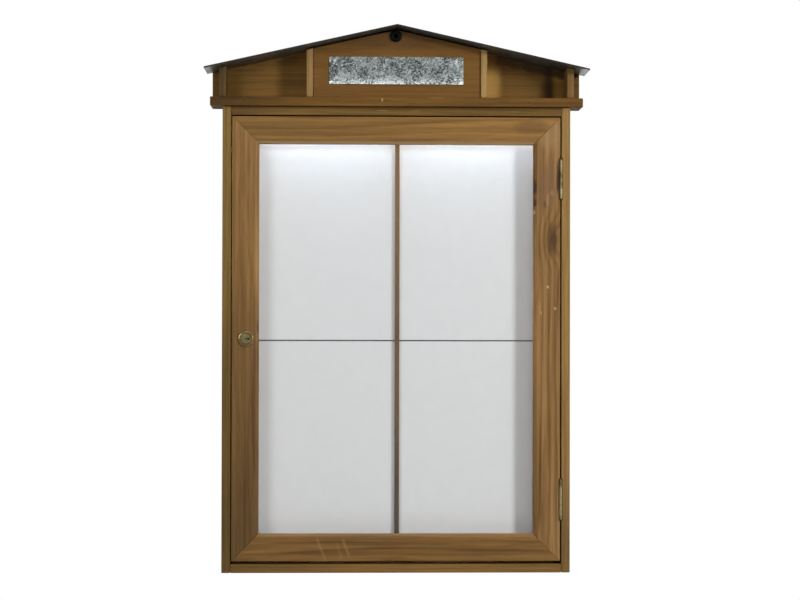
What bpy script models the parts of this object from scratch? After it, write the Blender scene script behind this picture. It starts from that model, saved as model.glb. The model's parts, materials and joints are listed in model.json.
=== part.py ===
# A wall-hung display case for four A4 sheets, with a locked door, a gable and a metal roof.
# Metres, +Z up. The front faces -Y, and the wall is the plane y = 0. The origin is the middle of the
# back face of the case.
import math

import bmesh
import bpy
from mathutils import Matrix, Vector

# Clearances
TOUCH = 0.0003  # between pieces that rest on each other
HOLE_PLAY = 0.0003  # round a screw, a pin or a lead in its hole

# Sheets and what holds them
DISPLAY_BOARD_THICKNESS = 0.004
SHEET_WIDTH = 0.210
SHEET_HEIGHT = 0.297
SHEET_THICKNESS = 0.0008
SHEET_SPACING = 0.002
SHEET_FIELD_X = 0.0015  # the four sheets sit a little right of the middle
SHEET_FIELD_BOTTOM = 0.0506  # above the case's lower face
SHEET_FIELD_TOP = 0.0544  # below the case's upper face
SHEET_FIELD_SIDE = 0.051
DIVIDER_WIDTH = 0.007
DIVIDER_THICKNESS = 0.0045
BATTEN_WIDTH = 0.010
BATTEN_OVERLAP = 0.0015

# Case, made round the sheets
BOARD = 0.013
CASE_WIDTH = 2 * SHEET_WIDTH + SHEET_SPACING + 2 * SHEET_FIELD_SIDE
CASE_HEIGHT = SHEET_FIELD_BOTTOM + 2 * SHEET_HEIGHT + SHEET_SPACING + SHEET_FIELD_TOP
CASE_DEPTH = 0.044
BACK_THICKNESS = 0.008
BOARD_ARRIS = 0.001

# Door
DOOR_THICKNESS = 0.020
GAP_AT_HINGES = 0.0020
GAP_AT_LOCK = 0.0015
GAP_ABOVE_DOOR = 0.0020
GAP_BELOW_DOOR = 0.0045
MEMBER_WIDTH = 0.0405
MOULDING_WIDTH = 0.0046
MOULDING_STEP = 0.0007
MOULDING_DEPTH = 0.0040
DOOR_ARRIS = 0.0007
REBATE_WIDTH = 0.008
REBATE_DEPTH = 0.010
MITRE_GAP = 0.0003

# Pane
PANE_THICKNESS = 0.003
PANE_PLAY = 0.001
BEAD_SETBACK = 0.0008

# Hinges
HINGE_INSET = 0.0925  # from the door's end to the middle of the hinge
HINGE_LENGTH = 0.060
LEAF_THICKNESS = 0.001
LEAF_WIDTH = 0.016
KNUCKLES = 5
KNUCKLE_RADIUS = 0.0022
KNUCKLE_PLAY = 0.0003
PIN_RADIUS = 0.001
PIN_HEAD_RADIUS = 0.0019
PIN_HEAD_HEIGHT = 0.0009
PIN_PLAY = 0.0001
KNUCKLE_CLEARANCE = 0.0004  # between the knuckles and the wood
AXIS_PROUD = 0.0008  # the hinge's axis stands in front of the door

# Lock
LOCK_HEIGHT = 0.3514  # above the case's lower face
LOCK_OFFSET = 0.0011  # from the middle of the stile, away from the edge
BEZEL_RADIUS = 0.0115
BEZEL_THICKNESS = 0.0024
BEZEL_ROUND = 0.0014
BARREL_RADIUS = 0.0085
PLUG_FACE_RADIUS = 0.0077
PLUG_FACE_THICKNESS = 0.0016
PLUG_FACE_SETBACK = 0.0001
PLUG_FACE_CHAMFER = 0.0005
PLUG_RADIUS = 0.0057
PLUG_PLAY = 0.0001
LOCK_NUT_RADIUS = 0.011
LOCK_NUT_THICKNESS = 0.0027
CAM_REACH = 0.0196
CAM_WIDTH = 0.010
CAM_THICKNESS = 0.0015
CAM_HUB_RADIUS = 0.007
CAM_TIP_CHAMFER = 0.002
KEY_SLOT_LENGTH = 0.0075
KEY_SLOT_WIDTH = 0.0014
KEY_SLOT_DEPTH = 0.004

# Keeper behind which the cam turns
KEEPER_THICKNESS = 0.0015
KEEPER_REACH = 0.009
KEEPER_HEIGHT = 0.030
KEEPER_LEG = 0.0095
KEEPER_BEHIND_DOOR = 0.0008

# Light
CHANNEL_END_ROOM = 0.009  # to the case's sides
CHANNEL_DEPTH = 0.0085
CHANNEL_HEIGHT = 0.009
CHANNEL_WALL = 0.001
CHANNEL_BEHIND_DOOR = 0.0012
STRIP_WIDTH = 0.005
STRIP_THICKNESS = 0.0012
DRIVER_LENGTH = 0.110
DRIVER_DEPTH = 0.018
DRIVER_HEIGHT = 0.036
DRIVER_X = 0.035
LEAD_RADIUS = 0.0015
LEAD_BEND = 0.012
LEAD_STRAIGHT = 0.0024  # above the cornice, before the bend
LEAD_REACH = 0.030
DIFFUSER_RISE = 0.0015  # from the channel's lower edge
DIFFUSER_EDGE = 0.001
DIFFUSER_CROWN = 0.001
DRIVER_ARRIS = 0.0015

# Sign plate
PLATE_WIDTH = 0.202
PLATE_HEIGHT = 0.041
PLATE_THICKNESS = 0.001
PLATE_X = -0.001
PLATE_RISE = 0.0202  # above the cornice
PLATE_PIN_INSET = 0.0065

# Gable and roof
CORNICE_OVERHANG = 0.0185
CORNICE_PROUD = 0.006
CORNICE_WIDTH = CASE_WIDTH + 2 * CORNICE_OVERHANG
CORNICE_THICKNESS = 0.0135
CORNICE_DEPTH = CASE_DEPTH + CORNICE_PROUD
PEDIMENT_INSET = 0.0005  # from the cornice's ends
PEDIMENT_SETBACK = 0.0035  # from its front
PEDIMENT_WIDTH = CORNICE_WIDTH - 2 * PEDIMENT_INSET
PEDIMENT_DEPTH = CORNICE_DEPTH - PEDIMENT_SETBACK
PEDIMENT_END_HEIGHT = 0.0413
END_INSET = 0.013  # from the ends of the gable's back
END_THICKNESS = 0.010
PEDIMENT_BACK_THICKNESS = 0.008
FIN_THICKNESS = 0.0096
FRONT_BELOW_ROOF = 0.0024  # the fins and the sign panel stop short of the roof
SIGN_PANEL_SIDE = 0.0251  # beside the plate
SIGN_PANEL_WIDTH = PLATE_WIDTH + 2 * SIGN_PANEL_SIDE
SIGN_PANEL_THICKNESS = 0.012
SIGN_PANEL_SETBACK = 0.0025
ROOF_PITCH = math.radians(12.7)
ROOF_OVERHANG = 0.0085
ROOF_PROUD = 0.0215
ROOF_WIDTH = PEDIMENT_WIDTH + 2 * ROOF_OVERHANG
ROOF_DEPTH = PEDIMENT_DEPTH + ROOF_PROUD
ROOF_SHEET = 0.0023

# Grommet under the apex
GROMMET_X = -0.0019
GROMMET_DROP = 0.0121  # from the underside of the ridge
GROMMET_FLANGE_RADIUS = 0.0088
GROMMET_FLANGE_HEIGHT = 0.0045
GROMMET_BODY_RADIUS = 0.0065
GROMMET_BORE_RADIUS = 0.0022
GROMMET_TAIL = 0.002  # behind the panel

# Hangers let into the back
HANGER_LENGTH = 0.045
HANGER_WIDTH = 0.018
HANGER_THICKNESS = 0.002
HANGER_INSET = 0.062  # from the case's side
HANGER_BELOW_TOP = 0.060
KEYHOLE_RADIUS = 0.0045
KEYHOLE_SLOT_WIDTH = 0.0046
KEYHOLE_SLOT_LENGTH = 0.011
HANGER_POCKET_DEPTH = 0.0055
HANGER_POCKET_SPARE = 0.003

# Screws: head radius, shank radius, length
KEEPER_SCREW = (0.0024, 0.0012, 0.009)
PLATE_PIN = (0.0019, 0.0008, 0.009)
CAM_SCREW = (0.0036, 0.0018, 0.008)
PAN_HEAD_HEIGHT = 0.0014
KEEPER_SCREW_Z = 0.0105

# Sides of a round piece, and of a quarter of a rounded edge
ROUND_STEPS = 24
KNUCKLE_STEPS = 16
SMALL_ROUND_STEPS = 12
EDGE_STEPS = 3

# Places worked out from the sizes
CASE_BOTTOM = -CASE_HEIGHT / 2
CASE_TOP = CASE_HEIGHT / 2
CASE_FRONT = -CASE_DEPTH
INNER_X = CASE_WIDTH / 2 - BOARD
INNER_BOTTOM = CASE_BOTTOM + BOARD
INNER_TOP = CASE_TOP - BOARD

DOOR_LEFT = -INNER_X + GAP_AT_LOCK
DOOR_RIGHT = INNER_X - GAP_AT_HINGES
DOOR_BOTTOM = INNER_BOTTOM + GAP_BELOW_DOOR
DOOR_TOP = INNER_TOP - GAP_ABOVE_DOOR
DOOR_FRONT = CASE_FRONT
DOOR_BACK = DOOR_FRONT + DOOR_THICKNESS
DOOR_MIDDLE_X = (DOOR_LEFT + DOOR_RIGHT) / 2
DOOR_MIDDLE_Z = (DOOR_BOTTOM + DOOR_TOP) / 2
PANE_FRONT = DOOR_BACK - REBATE_DEPTH + TOUCH
PANE_BACK = PANE_FRONT + PANE_THICKNESS

DISPLAY_BOARD_FRONT = -BACK_THICKNESS - TOUCH - DISPLAY_BOARD_THICKNESS
SHEET_FRONT = DISPLAY_BOARD_FRONT - TOUCH - SHEET_THICKNESS

HINGE_X = (DOOR_RIGHT + INNER_X) / 2
HINGE_Y = DOOR_FRONT - AXIS_PROUD
HINGE_Z = {"upper": DOOR_TOP - HINGE_INSET, "lower": DOOR_BOTTOM + HINGE_INSET}
LEAF_FRONT = HINGE_Y + KNUCKLE_RADIUS + KNUCKLE_PLAY
LEAF_BACK = HINGE_Y + LEAF_WIDTH

LOCK_X = DOOR_LEFT + MEMBER_WIDTH / 2 + LOCK_OFFSET
LOCK_Z = CASE_BOTTOM + LOCK_HEIGHT
BARREL_END = DOOR_BACK + TOUCH + LOCK_NUT_THICKNESS
CAM_FRONT = BARREL_END + TOUCH
CAM_BACK = CAM_FRONT + CAM_THICKNESS

CHANNEL_LENGTH = 2 * (INNER_X - CHANNEL_END_ROOM)
CHANNEL_FRONT = DOOR_BACK + CHANNEL_BEHIND_DOOR
CHANNEL_Y = CHANNEL_FRONT + CHANNEL_DEPTH / 2
CHANNEL_TOP = INNER_TOP - TOUCH
CHANNEL_BOTTOM = CHANNEL_TOP - CHANNEL_HEIGHT

CORNICE_BOTTOM = CASE_TOP + TOUCH
CORNICE_TOP = CORNICE_BOTTOM + CORNICE_THICKNESS
GABLE_BOTTOM = CORNICE_TOP + TOUCH
PEDIMENT_FRONT = -PEDIMENT_DEPTH
SIGN_PANEL_FRONT = PEDIMENT_FRONT + SIGN_PANEL_SETBACK
SIGN_PANEL_BACK = SIGN_PANEL_FRONT + SIGN_PANEL_THICKNESS
FIN_INNER_X = SIGN_PANEL_WIDTH / 2 + TOUCH
FIN_OUTER_X = FIN_INNER_X + FIN_THICKNESS
END_OUTER_X = PEDIMENT_WIDTH / 2 - END_INSET
END_INNER_X = END_OUTER_X - END_THICKNESS

PLATE_BACK = SIGN_PANEL_FRONT - TOUCH
PLATE_FRONT = PLATE_BACK - PLATE_THICKNESS
PLATE_Z = CORNICE_TOP + PLATE_RISE + PLATE_HEIGHT / 2

LEAD_X = DRIVER_X - DRIVER_LENGTH / 2 - LEAD_REACH
DRIVER_BACK = -PEDIMENT_BACK_THICKNESS - TOUCH
HANGER_SPREAD = CASE_WIDTH - 2 * HANGER_INSET
HANGER_Z = INNER_TOP - HANGER_BELOW_TOP


def gable_top(x):
    """Height of the gable's sloping edge at a place across the front."""
    return GABLE_BOTTOM + PEDIMENT_END_HEIGHT + (PEDIMENT_WIDTH / 2 - abs(x)) * math.tan(ROOF_PITCH)


# Scene and collections
for old in list(bpy.data.objects):
    bpy.data.objects.remove(old, do_unlink=True)

PARTS = bpy.data.collections.new("display_case")
CUTTERS = bpy.data.collections.new("cutters")
bpy.context.scene.collection.children.link(PARTS)
bpy.context.scene.collection.children.link(CUTTERS)


def make_material(name, colour, roughness, metallic=0.0, transmission=0.0):
    material = bpy.data.materials.new(name)
    material.use_nodes = True
    shader = material.node_tree.nodes["Principled BSDF"]
    shader.inputs["Base Color"].default_value = (*colour, 1.0)
    shader.inputs["Roughness"].default_value = roughness
    shader.inputs["Metallic"].default_value = metallic
    shader.inputs["Transmission Weight"].default_value = transmission
    material.diffuse_color = (*colour, 1.0)
    return material


CASE_WOOD = make_material("case_wood", (0.20, 0.12, 0.045), 0.6)
DOOR_WOOD = make_material("door_wood", (0.22, 0.12, 0.045), 0.55)
GABLE_WOOD = make_material("gable_wood", (0.17, 0.10, 0.03), 0.6)
PLYWOOD = make_material("plywood", (0.30, 0.20, 0.10), 0.7)
GREY_BOARD = make_material("grey_board", (0.11, 0.11, 0.10), 0.8)
WHITE_SHEET = make_material("white_sheet", (0.80, 0.81, 0.82), 0.7)
CLEAR = make_material("clear_pane", (1.0, 1.0, 1.0), 0.03, 0.0, 1.0)
BRASS = make_material("brass", (0.62, 0.45, 0.17), 0.3, 1.0)
STEEL = make_material("steel", (0.55, 0.55, 0.53), 0.35, 1.0)
GALVANISED = make_material("galvanised", (0.45, 0.50, 0.50), 0.45, 1.0)
ROOF_METAL = make_material("roof_metal", (0.30, 0.30, 0.28), 0.5, 0.9)
ALUMINIUM = make_material("aluminium", (0.75, 0.75, 0.75), 0.35, 1.0)
DIFFUSER = make_material("diffuser", (0.95, 0.97, 1.0), 0.5)
BLACK_RUBBER = make_material("black_rubber", (0.012, 0.012, 0.012), 0.6)
BLACK_PLASTIC = make_material("black_plastic", (0.02, 0.02, 0.02), 0.45)


# Helpers
def add_object(name, mesh, material=None, cutter=False):
    """An object that holds a mesh, in the collection of the parts or of the cutters."""
    piece = bpy.data.objects.new(name, mesh)
    if cutter:
        CUTTERS.objects.link(piece)
        piece.hide_render = True
        piece.display_type = "WIRE"
    else:
        PARTS.objects.link(piece)
        mesh.materials.clear()
        mesh.materials.append(material)
    return piece


def mesh_from(work, name):
    """The mesh that a bmesh holds, with its faces turned outwards."""
    bmesh.ops.recalc_face_normals(work, faces=work.faces)
    mesh = bpy.data.meshes.new(name)
    work.to_mesh(mesh)
    work.free()
    return mesh


def box(name, xs, ys, zs, material=None, cutter=False, arris=0.0):
    """A block between two values along each axis, with its origin in its middle."""
    lows = Vector((min(xs), min(ys), min(zs)))
    highs = Vector((max(xs), max(ys), max(zs)))
    work = bmesh.new()
    bmesh.ops.create_cube(work, size=1.0)
    bmesh.ops.scale(work, vec=highs - lows, verts=work.verts)
    piece = add_object(name, mesh_from(work, name), material, cutter)
    piece.location = (lows + highs) / 2
    if arris:
        round_edges(piece, arris)
    return piece


def round_edges(piece, width, segments=2):
    bevel = piece.modifiers.new("arris", "BEVEL")
    bevel.width = width
    bevel.segments = segments
    bevel.limit_method = "ANGLE"
    return bevel


def cut(piece, cutter, operation="DIFFERENCE"):
    step = piece.modifiers.new(cutter.name, "BOOLEAN")
    step.operation = operation
    step.object = cutter
    return step


def mesh_of(piece):
    """A plain copy of a piece's finished mesh, with its doubles merged."""
    bpy.context.view_layer.update()
    finished = piece.evaluated_get(bpy.context.evaluated_depsgraph_get())
    mesh = bpy.data.meshes.new_from_object(finished)
    work = bmesh.new()
    work.from_mesh(mesh)
    bmesh.ops.remove_doubles(work, verts=work.verts, dist=0.000002)
    bpy.data.meshes.remove(mesh)
    return mesh_from(work, piece.name)


def extruded(name, outline, length):
    """The mesh of a flat outline in the XY plane, drawn out evenly along Z."""
    curve = bpy.data.curves.new(name, "CURVE")
    curve.dimensions = "2D"
    curve.fill_mode = "BOTH"
    curve.extrude = length / 2
    spline = curve.splines.new("POLY")
    spline.points.add(len(outline) - 1)
    for point, (x, y) in zip(spline.points, outline):
        point.co = (x, y, 0.0, 1.0)
    spline.use_cyclic_u = True
    guide = bpy.data.objects.new(name, curve)
    CUTTERS.objects.link(guide)
    mesh = mesh_of(guide)
    bpy.data.objects.remove(guide)
    bpy.data.curves.remove(curve)
    return mesh


def upright_panel(name, outline, front, back, material=None, cutter=False, arris=0.0):
    """A panel that faces the front: its outline is given as (x, z) points."""
    piece = add_object(name, extruded(name, outline, abs(back - front)), material, cutter)
    piece.rotation_euler = (math.pi / 2, 0.0, 0.0)
    piece.location = (0.0, (front + back) / 2, 0.0)
    if arris:
        round_edges(piece, arris)
    return piece


def bar_across(name, outline, length, material=None, cutter=False):
    """A bar along X: its section is given as (y, z) points."""
    piece = add_object(name, extruded(name, outline, length), material, cutter)
    piece.rotation_euler = Matrix(((0, 0, 1), (1, 0, 0), (0, 1, 0))).to_euler()
    return piece


def arc(centre, radii, start, end, steps):
    """Points on a stretch of an ellipse, between two angles in degrees."""
    turns = [math.radians(start + (end - start) * step / steps) for step in range(steps + 1)]
    across, up = radii
    return [(centre[0] + across * math.cos(turn), centre[1] + up * math.sin(turn)) for turn in turns]


def turned_mesh(name, profile, steps=ROUND_STEPS):
    """A turned shape about Z from (radius, height) points that run down its outer side."""
    mesh = bpy.data.meshes.new(name)
    points = [(radius, 0.0, height) for radius, height in profile]
    mesh.from_pydata(points, [(i, i + 1) for i in range(len(points) - 1)], [])
    guide = bpy.data.objects.new(name, mesh)
    CUTTERS.objects.link(guide)
    screw = guide.modifiers.new("turn", "SCREW")
    screw.steps = steps
    screw.render_steps = steps
    screw.use_merge_vertices = True
    screw.merge_threshold = 0.00001
    result = mesh_of(guide)
    bpy.data.objects.remove(guide)
    bpy.data.meshes.remove(mesh)
    result.shade_smooth()
    result.set_sharp_from_angle(angle=math.radians(35))
    return result


def facing(place, direction):
    """The matrix that stands a shape made along Z at a place, pointing in a direction."""
    turn = Vector(direction).to_track_quat("Z", "Y").to_matrix().to_4x4()
    return Matrix.Translation(place) @ turn


def placed(name, mesh, place, material=None, cutter=False):
    """A piece whose mesh is made round the origin, stood at its place."""
    piece = add_object(name, mesh, material, cutter)
    piece.matrix_world = place
    return piece


def pan_head(sizes):
    """A screw whose domed head rests on the surface at the origin, with its shank below."""
    head, shank, length = sizes
    profile = arc((0.0, TOUCH), (head, PAN_HEAD_HEIGHT), 90, 0, EDGE_STEPS)
    profile += [(shank, TOUCH), (shank, -length + shank), (0.0, -length)]
    return turned_mesh("pan_head", profile, SMALL_ROUND_STEPS)


def drill(pieces, radius, depth, place):
    """A round hole through one piece or more, down the place's -Z from a little over it."""
    top = TOUCH * 4
    profile = [(0.0, top), (radius, top), (radius, -depth), (0.0, -depth)]
    bit = placed("drill", turned_mesh("drill", profile, SMALL_ROUND_STEPS), place, cutter=True)
    for piece in pieces:
        cut(piece, bit)


def mitred_bar(name, outline, length, place, turn, material):
    """A bar whose ends are mitred towards its inner side. The outline is given as (distance in from the
    outer edge, y) points, and the turn about Y sets which side of the frame it makes."""
    mesh = extruded(name, outline, length)
    for vertex in mesh.vertices:
        shift = abs(vertex.co.x) + MITRE_GAP / 2
        vertex.co.z -= math.copysign(shift, vertex.co.z)
    piece = add_object(name, mesh, material)
    piece.rotation_euler = (0.0, turn, 0.0)
    piece.location = place
    return piece


# Case
def make_case():
    for name, side in (("case_left_side", -1), ("case_right_side", 1)):
        xs = (side * INNER_X, side * CASE_WIDTH / 2)
        box(name, xs, (CASE_FRONT, 0), (CASE_BOTTOM, CASE_TOP), CASE_WOOD, arris=BOARD_ARRIS)
    xs = (-INNER_X + TOUCH, INNER_X - TOUCH)
    heights = {
        "case_bottom_board": (CASE_BOTTOM, INNER_BOTTOM),
        "case_top_board": (INNER_TOP, CASE_TOP),
    }
    for name, zs in heights.items():
        box(name, xs, (CASE_FRONT, 0), zs, CASE_WOOD, arris=BOARD_ARRIS)


def make_back():
    zs = (INNER_BOTTOM + TOUCH, INNER_TOP - TOUCH)
    xs = (-INNER_X + TOUCH, INNER_X - TOUCH)
    back = box("back_panel", xs, (-BACK_THICKNESS, 0), zs, PLYWOOD)
    for side in (-1, 1):
        x = side * HANGER_SPREAD / 2
        seat = box(
            "hanger_seat",
            (x - HANGER_WIDTH / 2 - TOUCH, x + HANGER_WIDTH / 2 + TOUCH),
            (-HANGER_THICKNESS - TOUCH, BACK_THICKNESS),
            (HANGER_Z - HANGER_LENGTH / 2 - TOUCH, HANGER_Z + HANGER_LENGTH / 2 + TOUCH),
            cutter=True,
        )
        cut(back, seat)
        half = KEYHOLE_RADIUS + HANGER_POCKET_SPARE / 2
        pocket = box(
            "hanger_pocket",
            (x - half, x + half),
            (-HANGER_POCKET_DEPTH, BACK_THICKNESS),
            (HANGER_Z - half, HANGER_Z + KEYHOLE_SLOT_LENGTH + HANGER_POCKET_SPARE),
            cutter=True,
        )
        cut(back, pocket)


def make_hangers():
    """Two steel plates with a keyhole each, flush with the back of the case."""
    for name, side in (("left_hanger_plate", -1), ("right_hanger_plate", 1)):
        x = side * HANGER_SPREAD / 2
        plate = box(
            name,
            (x - HANGER_WIDTH / 2, x + HANGER_WIDTH / 2),
            (-HANGER_THICKNESS, 0),
            (HANGER_Z - HANGER_LENGTH / 2, HANGER_Z + HANGER_LENGTH / 2),
            STEEL,
        )
        drill([plate], KEYHOLE_RADIUS, HANGER_POCKET_DEPTH, facing((x, 0, HANGER_Z), (0, 1, 0)))
        slot = box(
            "keyhole_slot",
            (x - KEYHOLE_SLOT_WIDTH / 2, x + KEYHOLE_SLOT_WIDTH / 2),
            (-HANGER_POCKET_DEPTH, HANGER_POCKET_DEPTH),
            (HANGER_Z, HANGER_Z + KEYHOLE_SLOT_LENGTH),
            cutter=True,
        )
        cut(plate, slot)


# Sheets
def make_display():
    """The board, the four sheets on it, and the strips that hold their edges."""
    board_front = DISPLAY_BOARD_FRONT
    xs = (-INNER_X + TOUCH, INNER_X - TOUCH)
    zs = (INNER_BOTTOM + TOUCH, INNER_TOP - TOUCH)
    box("display_board", xs, (board_front, -BACK_THICKNESS - TOUCH), zs, GREY_BOARD)
    rows = {"lower": CASE_BOTTOM + SHEET_FIELD_BOTTOM}
    rows["upper"] = rows["lower"] + SHEET_HEIGHT + SHEET_SPACING
    columns = {
        "left": SHEET_FIELD_X - SHEET_SPACING / 2 - SHEET_WIDTH,
        "right": SHEET_FIELD_X + SHEET_SPACING / 2,
    }
    for row, low in rows.items():
        for column, left in columns.items():
            box(
                f"{row}_{column}_sheet",
                (left, left + SHEET_WIDTH),
                (SHEET_FRONT, SHEET_FRONT + SHEET_THICKNESS),
                (low, low + SHEET_HEIGHT),
                WHITE_SHEET,
            )
    strip_ys = (SHEET_FRONT - TOUCH - DIVIDER_THICKNESS, SHEET_FRONT - TOUCH)
    divider_xs = (SHEET_FIELD_X - DIVIDER_WIDTH / 2, SHEET_FIELD_X + DIVIDER_WIDTH / 2)
    strip_zs = (INNER_BOTTOM + TOUCH, CHANNEL_BOTTOM - TOUCH)
    box("centre_divider", divider_xs, strip_ys, strip_zs, CASE_WOOD, arris=BOARD_ARRIS / 2)
    edge = SHEET_SPACING / 2 + SHEET_WIDTH - BATTEN_OVERLAP
    for name, side in (("left_sheet_batten", -1), ("right_sheet_batten", 1)):
        start = SHEET_FIELD_X + side * edge
        xs = (start, start + side * BATTEN_WIDTH)
        box(name, xs, strip_ys, strip_zs, CASE_WOOD, arris=BOARD_ARRIS / 2)


# Light
def make_light():
    """A channel under the top board with a light strip in it, its cover, its driver and its lead."""
    front = CHANNEL_FRONT
    back = CHANNEL_FRONT + CHANNEL_DEPTH
    wall = CHANNEL_WALL
    section = [
        (front, CHANNEL_BOTTOM),
        (front + wall, CHANNEL_BOTTOM),
        (front + wall, CHANNEL_TOP - wall),
        (back - wall, CHANNEL_TOP - wall),
        (back - wall, CHANNEL_BOTTOM),
        (back, CHANNEL_BOTTOM),
        (back, CHANNEL_TOP),
        (front, CHANNEL_TOP),
    ]
    bar_across("light_channel", section, CHANNEL_LENGTH, ALUMINIUM)
    strip_top = CHANNEL_TOP - wall - TOUCH
    half = CHANNEL_LENGTH / 2
    strip_ys = (CHANNEL_Y - STRIP_WIDTH / 2, CHANNEL_Y + STRIP_WIDTH / 2)
    box("light_strip", (-half, half), strip_ys, (strip_top - STRIP_THICKNESS, strip_top), WHITE_SHEET)
    cover_front = front + wall + TOUCH
    cover_back = back - wall - TOUCH
    low = CHANNEL_BOTTOM + DIFFUSER_RISE
    crown = ((cover_back - cover_front) / 2, DIFFUSER_CROWN)
    cover = [(cover_front, low + DIFFUSER_EDGE), (cover_back, low + DIFFUSER_EDGE)]
    cover += arc((CHANNEL_Y, low), crown, 0, -180, EDGE_STEPS * 2)
    bar_across("light_diffuser", cover, CHANNEL_LENGTH, DIFFUSER)
    box(
        "light_driver",
        (DRIVER_X - DRIVER_LENGTH / 2, DRIVER_X + DRIVER_LENGTH / 2),
        (DRIVER_BACK - DRIVER_DEPTH, DRIVER_BACK),
        (GABLE_BOTTOM, GABLE_BOTTOM + DRIVER_HEIGHT),
        BLACK_PLASTIC,
        arris=DRIVER_ARRIS,
    )
    make_lead(strip_top)


def make_lead(end_z):
    """The lead leaves the driver's end, bends down and passes through the boards to the light strip."""
    start_x = DRIVER_X - DRIVER_LENGTH / 2 - TOUCH
    bend_bottom = CORNICE_TOP + LEAD_STRAIGHT
    bend = arc((LEAD_X + LEAD_BEND, bend_bottom), (LEAD_BEND, LEAD_BEND), 90, 180, EDGE_STEPS * 2)
    route = [(start_x, bend_bottom + LEAD_BEND)] + bend + [(LEAD_X, end_z + TOUCH)]
    points = [(x, CHANNEL_Y, z) for x, z in route]
    curve = bpy.data.curves.new("light_lead", "CURVE")
    curve.dimensions = "3D"
    curve.bevel_depth = LEAD_RADIUS
    curve.bevel_resolution = 2
    curve.use_fill_caps = True
    spline = curve.splines.new("POLY")
    spline.points.add(len(points) - 1)
    for point, place in zip(spline.points, points):
        point.co = (*place, 1.0)
    lead = bpy.data.objects.new("light_lead", curve)
    curve.materials.append(BLACK_PLASTIC)
    PARTS.objects.link(lead)
    pierced = [bpy.data.objects[name] for name in ("cornice_board", "case_top_board", "light_channel")]
    depth = CORNICE_TOP - CHANNEL_TOP + CHANNEL_WALL * 2
    top = Matrix.Translation((LEAD_X, CHANNEL_Y, CORNICE_TOP))
    drill(pierced, LEAD_RADIUS + HOLE_PLAY, depth, top)


# Gable
def gable_outline(left, right, below=0.0):
    """(x, z) points of a panel between two places, from the cornice up to the roof or to below it."""
    outline = [(left, GABLE_BOTTOM), (right, GABLE_BOTTOM), (right, gable_top(right) - below)]
    if left < 0 < right:
        outline.append((0.0, gable_top(0.0) - below))
    outline.append((left, gable_top(left) - below))
    return outline


def make_gable():
    half = CORNICE_WIDTH / 2
    zs = (CORNICE_BOTTOM, CORNICE_TOP)
    box("cornice_board", (-half, half), (-CORNICE_DEPTH, 0), zs, GABLE_WOOD, arris=BOARD_ARRIS)
    half = PEDIMENT_WIDTH / 2
    upright_panel("pediment_back", gable_outline(-half, half), -PEDIMENT_BACK_THICKNESS, 0, PLYWOOD)
    back = -PEDIMENT_BACK_THICKNESS - TOUCH
    boards = (
        ("pediment_left_end", -END_OUTER_X, -END_INNER_X, 0.0),
        ("pediment_right_end", END_INNER_X, END_OUTER_X, 0.0),
        ("left_fin", -FIN_OUTER_X, -FIN_INNER_X, FRONT_BELOW_ROOF),
        ("right_fin", FIN_INNER_X, FIN_OUTER_X, FRONT_BELOW_ROOF),
    )
    for name, left, right, below in boards:
        outline = gable_outline(left, right, below)
        upright_panel(name, outline, PEDIMENT_FRONT, back, GABLE_WOOD, arris=BOARD_ARRIS)
    outline = gable_outline(-SIGN_PANEL_WIDTH / 2, SIGN_PANEL_WIDTH / 2, FRONT_BELOW_ROOF)
    ys = (SIGN_PANEL_FRONT, SIGN_PANEL_BACK)
    upright_panel("sign_panel", outline, *ys, GABLE_WOOD, arris=BOARD_ARRIS / 2)


def make_roof():
    """A metal sheet folded once along the ridge."""
    half = ROOF_WIDTH / 2
    over = TOUCH + ROOF_SHEET / math.cos(ROOF_PITCH)
    outline = [(x, gable_top(x) + TOUCH) for x in (-half, 0.0, half)]
    outline += [(x, gable_top(x) + over) for x in (half, 0.0, -half)]
    upright_panel("roof_sheet", outline, -ROOF_DEPTH, 0, ROOF_METAL)


def plate_pin_places():
    """Where the four pins go through the plate's corners, by name."""
    x = PLATE_WIDTH / 2 - PLATE_PIN_INSET
    z = PLATE_HEIGHT / 2 - PLATE_PIN_INSET
    places = {}
    for row, up in (("lower", -z), ("upper", z)):
        for column, across in (("left", -x), ("right", x)):
            place = facing((PLATE_X + across, PLATE_FRONT, PLATE_Z + up), (0, -1, 0))
            places[f"{row}_{column}_plate_pin"] = place
    return places


def make_sign():
    panel = bpy.data.objects["sign_panel"]
    xs = (PLATE_X - PLATE_WIDTH / 2, PLATE_X + PLATE_WIDTH / 2)
    zs = (PLATE_Z - PLATE_HEIGHT / 2, PLATE_Z + PLATE_HEIGHT / 2)
    plate = box("sign_plate", xs, (PLATE_FRONT, PLATE_BACK), zs, GALVANISED)
    _, shank, length = PLATE_PIN
    for name, place in plate_pin_places().items():
        drill([plate, panel], shank + HOLE_PLAY, length + TOUCH, place)
        placed(name, pan_head(PLATE_PIN), place, STEEL)
    make_grommet(panel)


def make_grommet(panel):
    """A round rubber bead on the panel, with a bored stem that passes through it."""
    stem = GROMMET_BODY_RADIUS
    bore = GROMMET_BORE_RADIUS
    tail = SIGN_PANEL_THICKNESS + GROMMET_TAIL
    bead = ((GROMMET_FLANGE_RADIUS - bore) / 2, GROMMET_FLANGE_HEIGHT)
    middle = (GROMMET_FLANGE_RADIUS + bore) / 2
    profile = arc((middle, TOUCH), bead, 180, 0, EDGE_STEPS * 2)
    profile += [(stem, TOUCH), (stem, -tail), (bore, -tail), (bore, TOUCH)]
    place = facing((GROMMET_X, SIGN_PANEL_FRONT, gable_top(0.0) - GROMMET_DROP), (0, -1, 0))
    placed("apex_grommet", turned_mesh("apex_grommet", profile), place, BLACK_RUBBER)
    drill([panel], stem + HOLE_PLAY, SIGN_PANEL_THICKNESS * 2, place)


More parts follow.
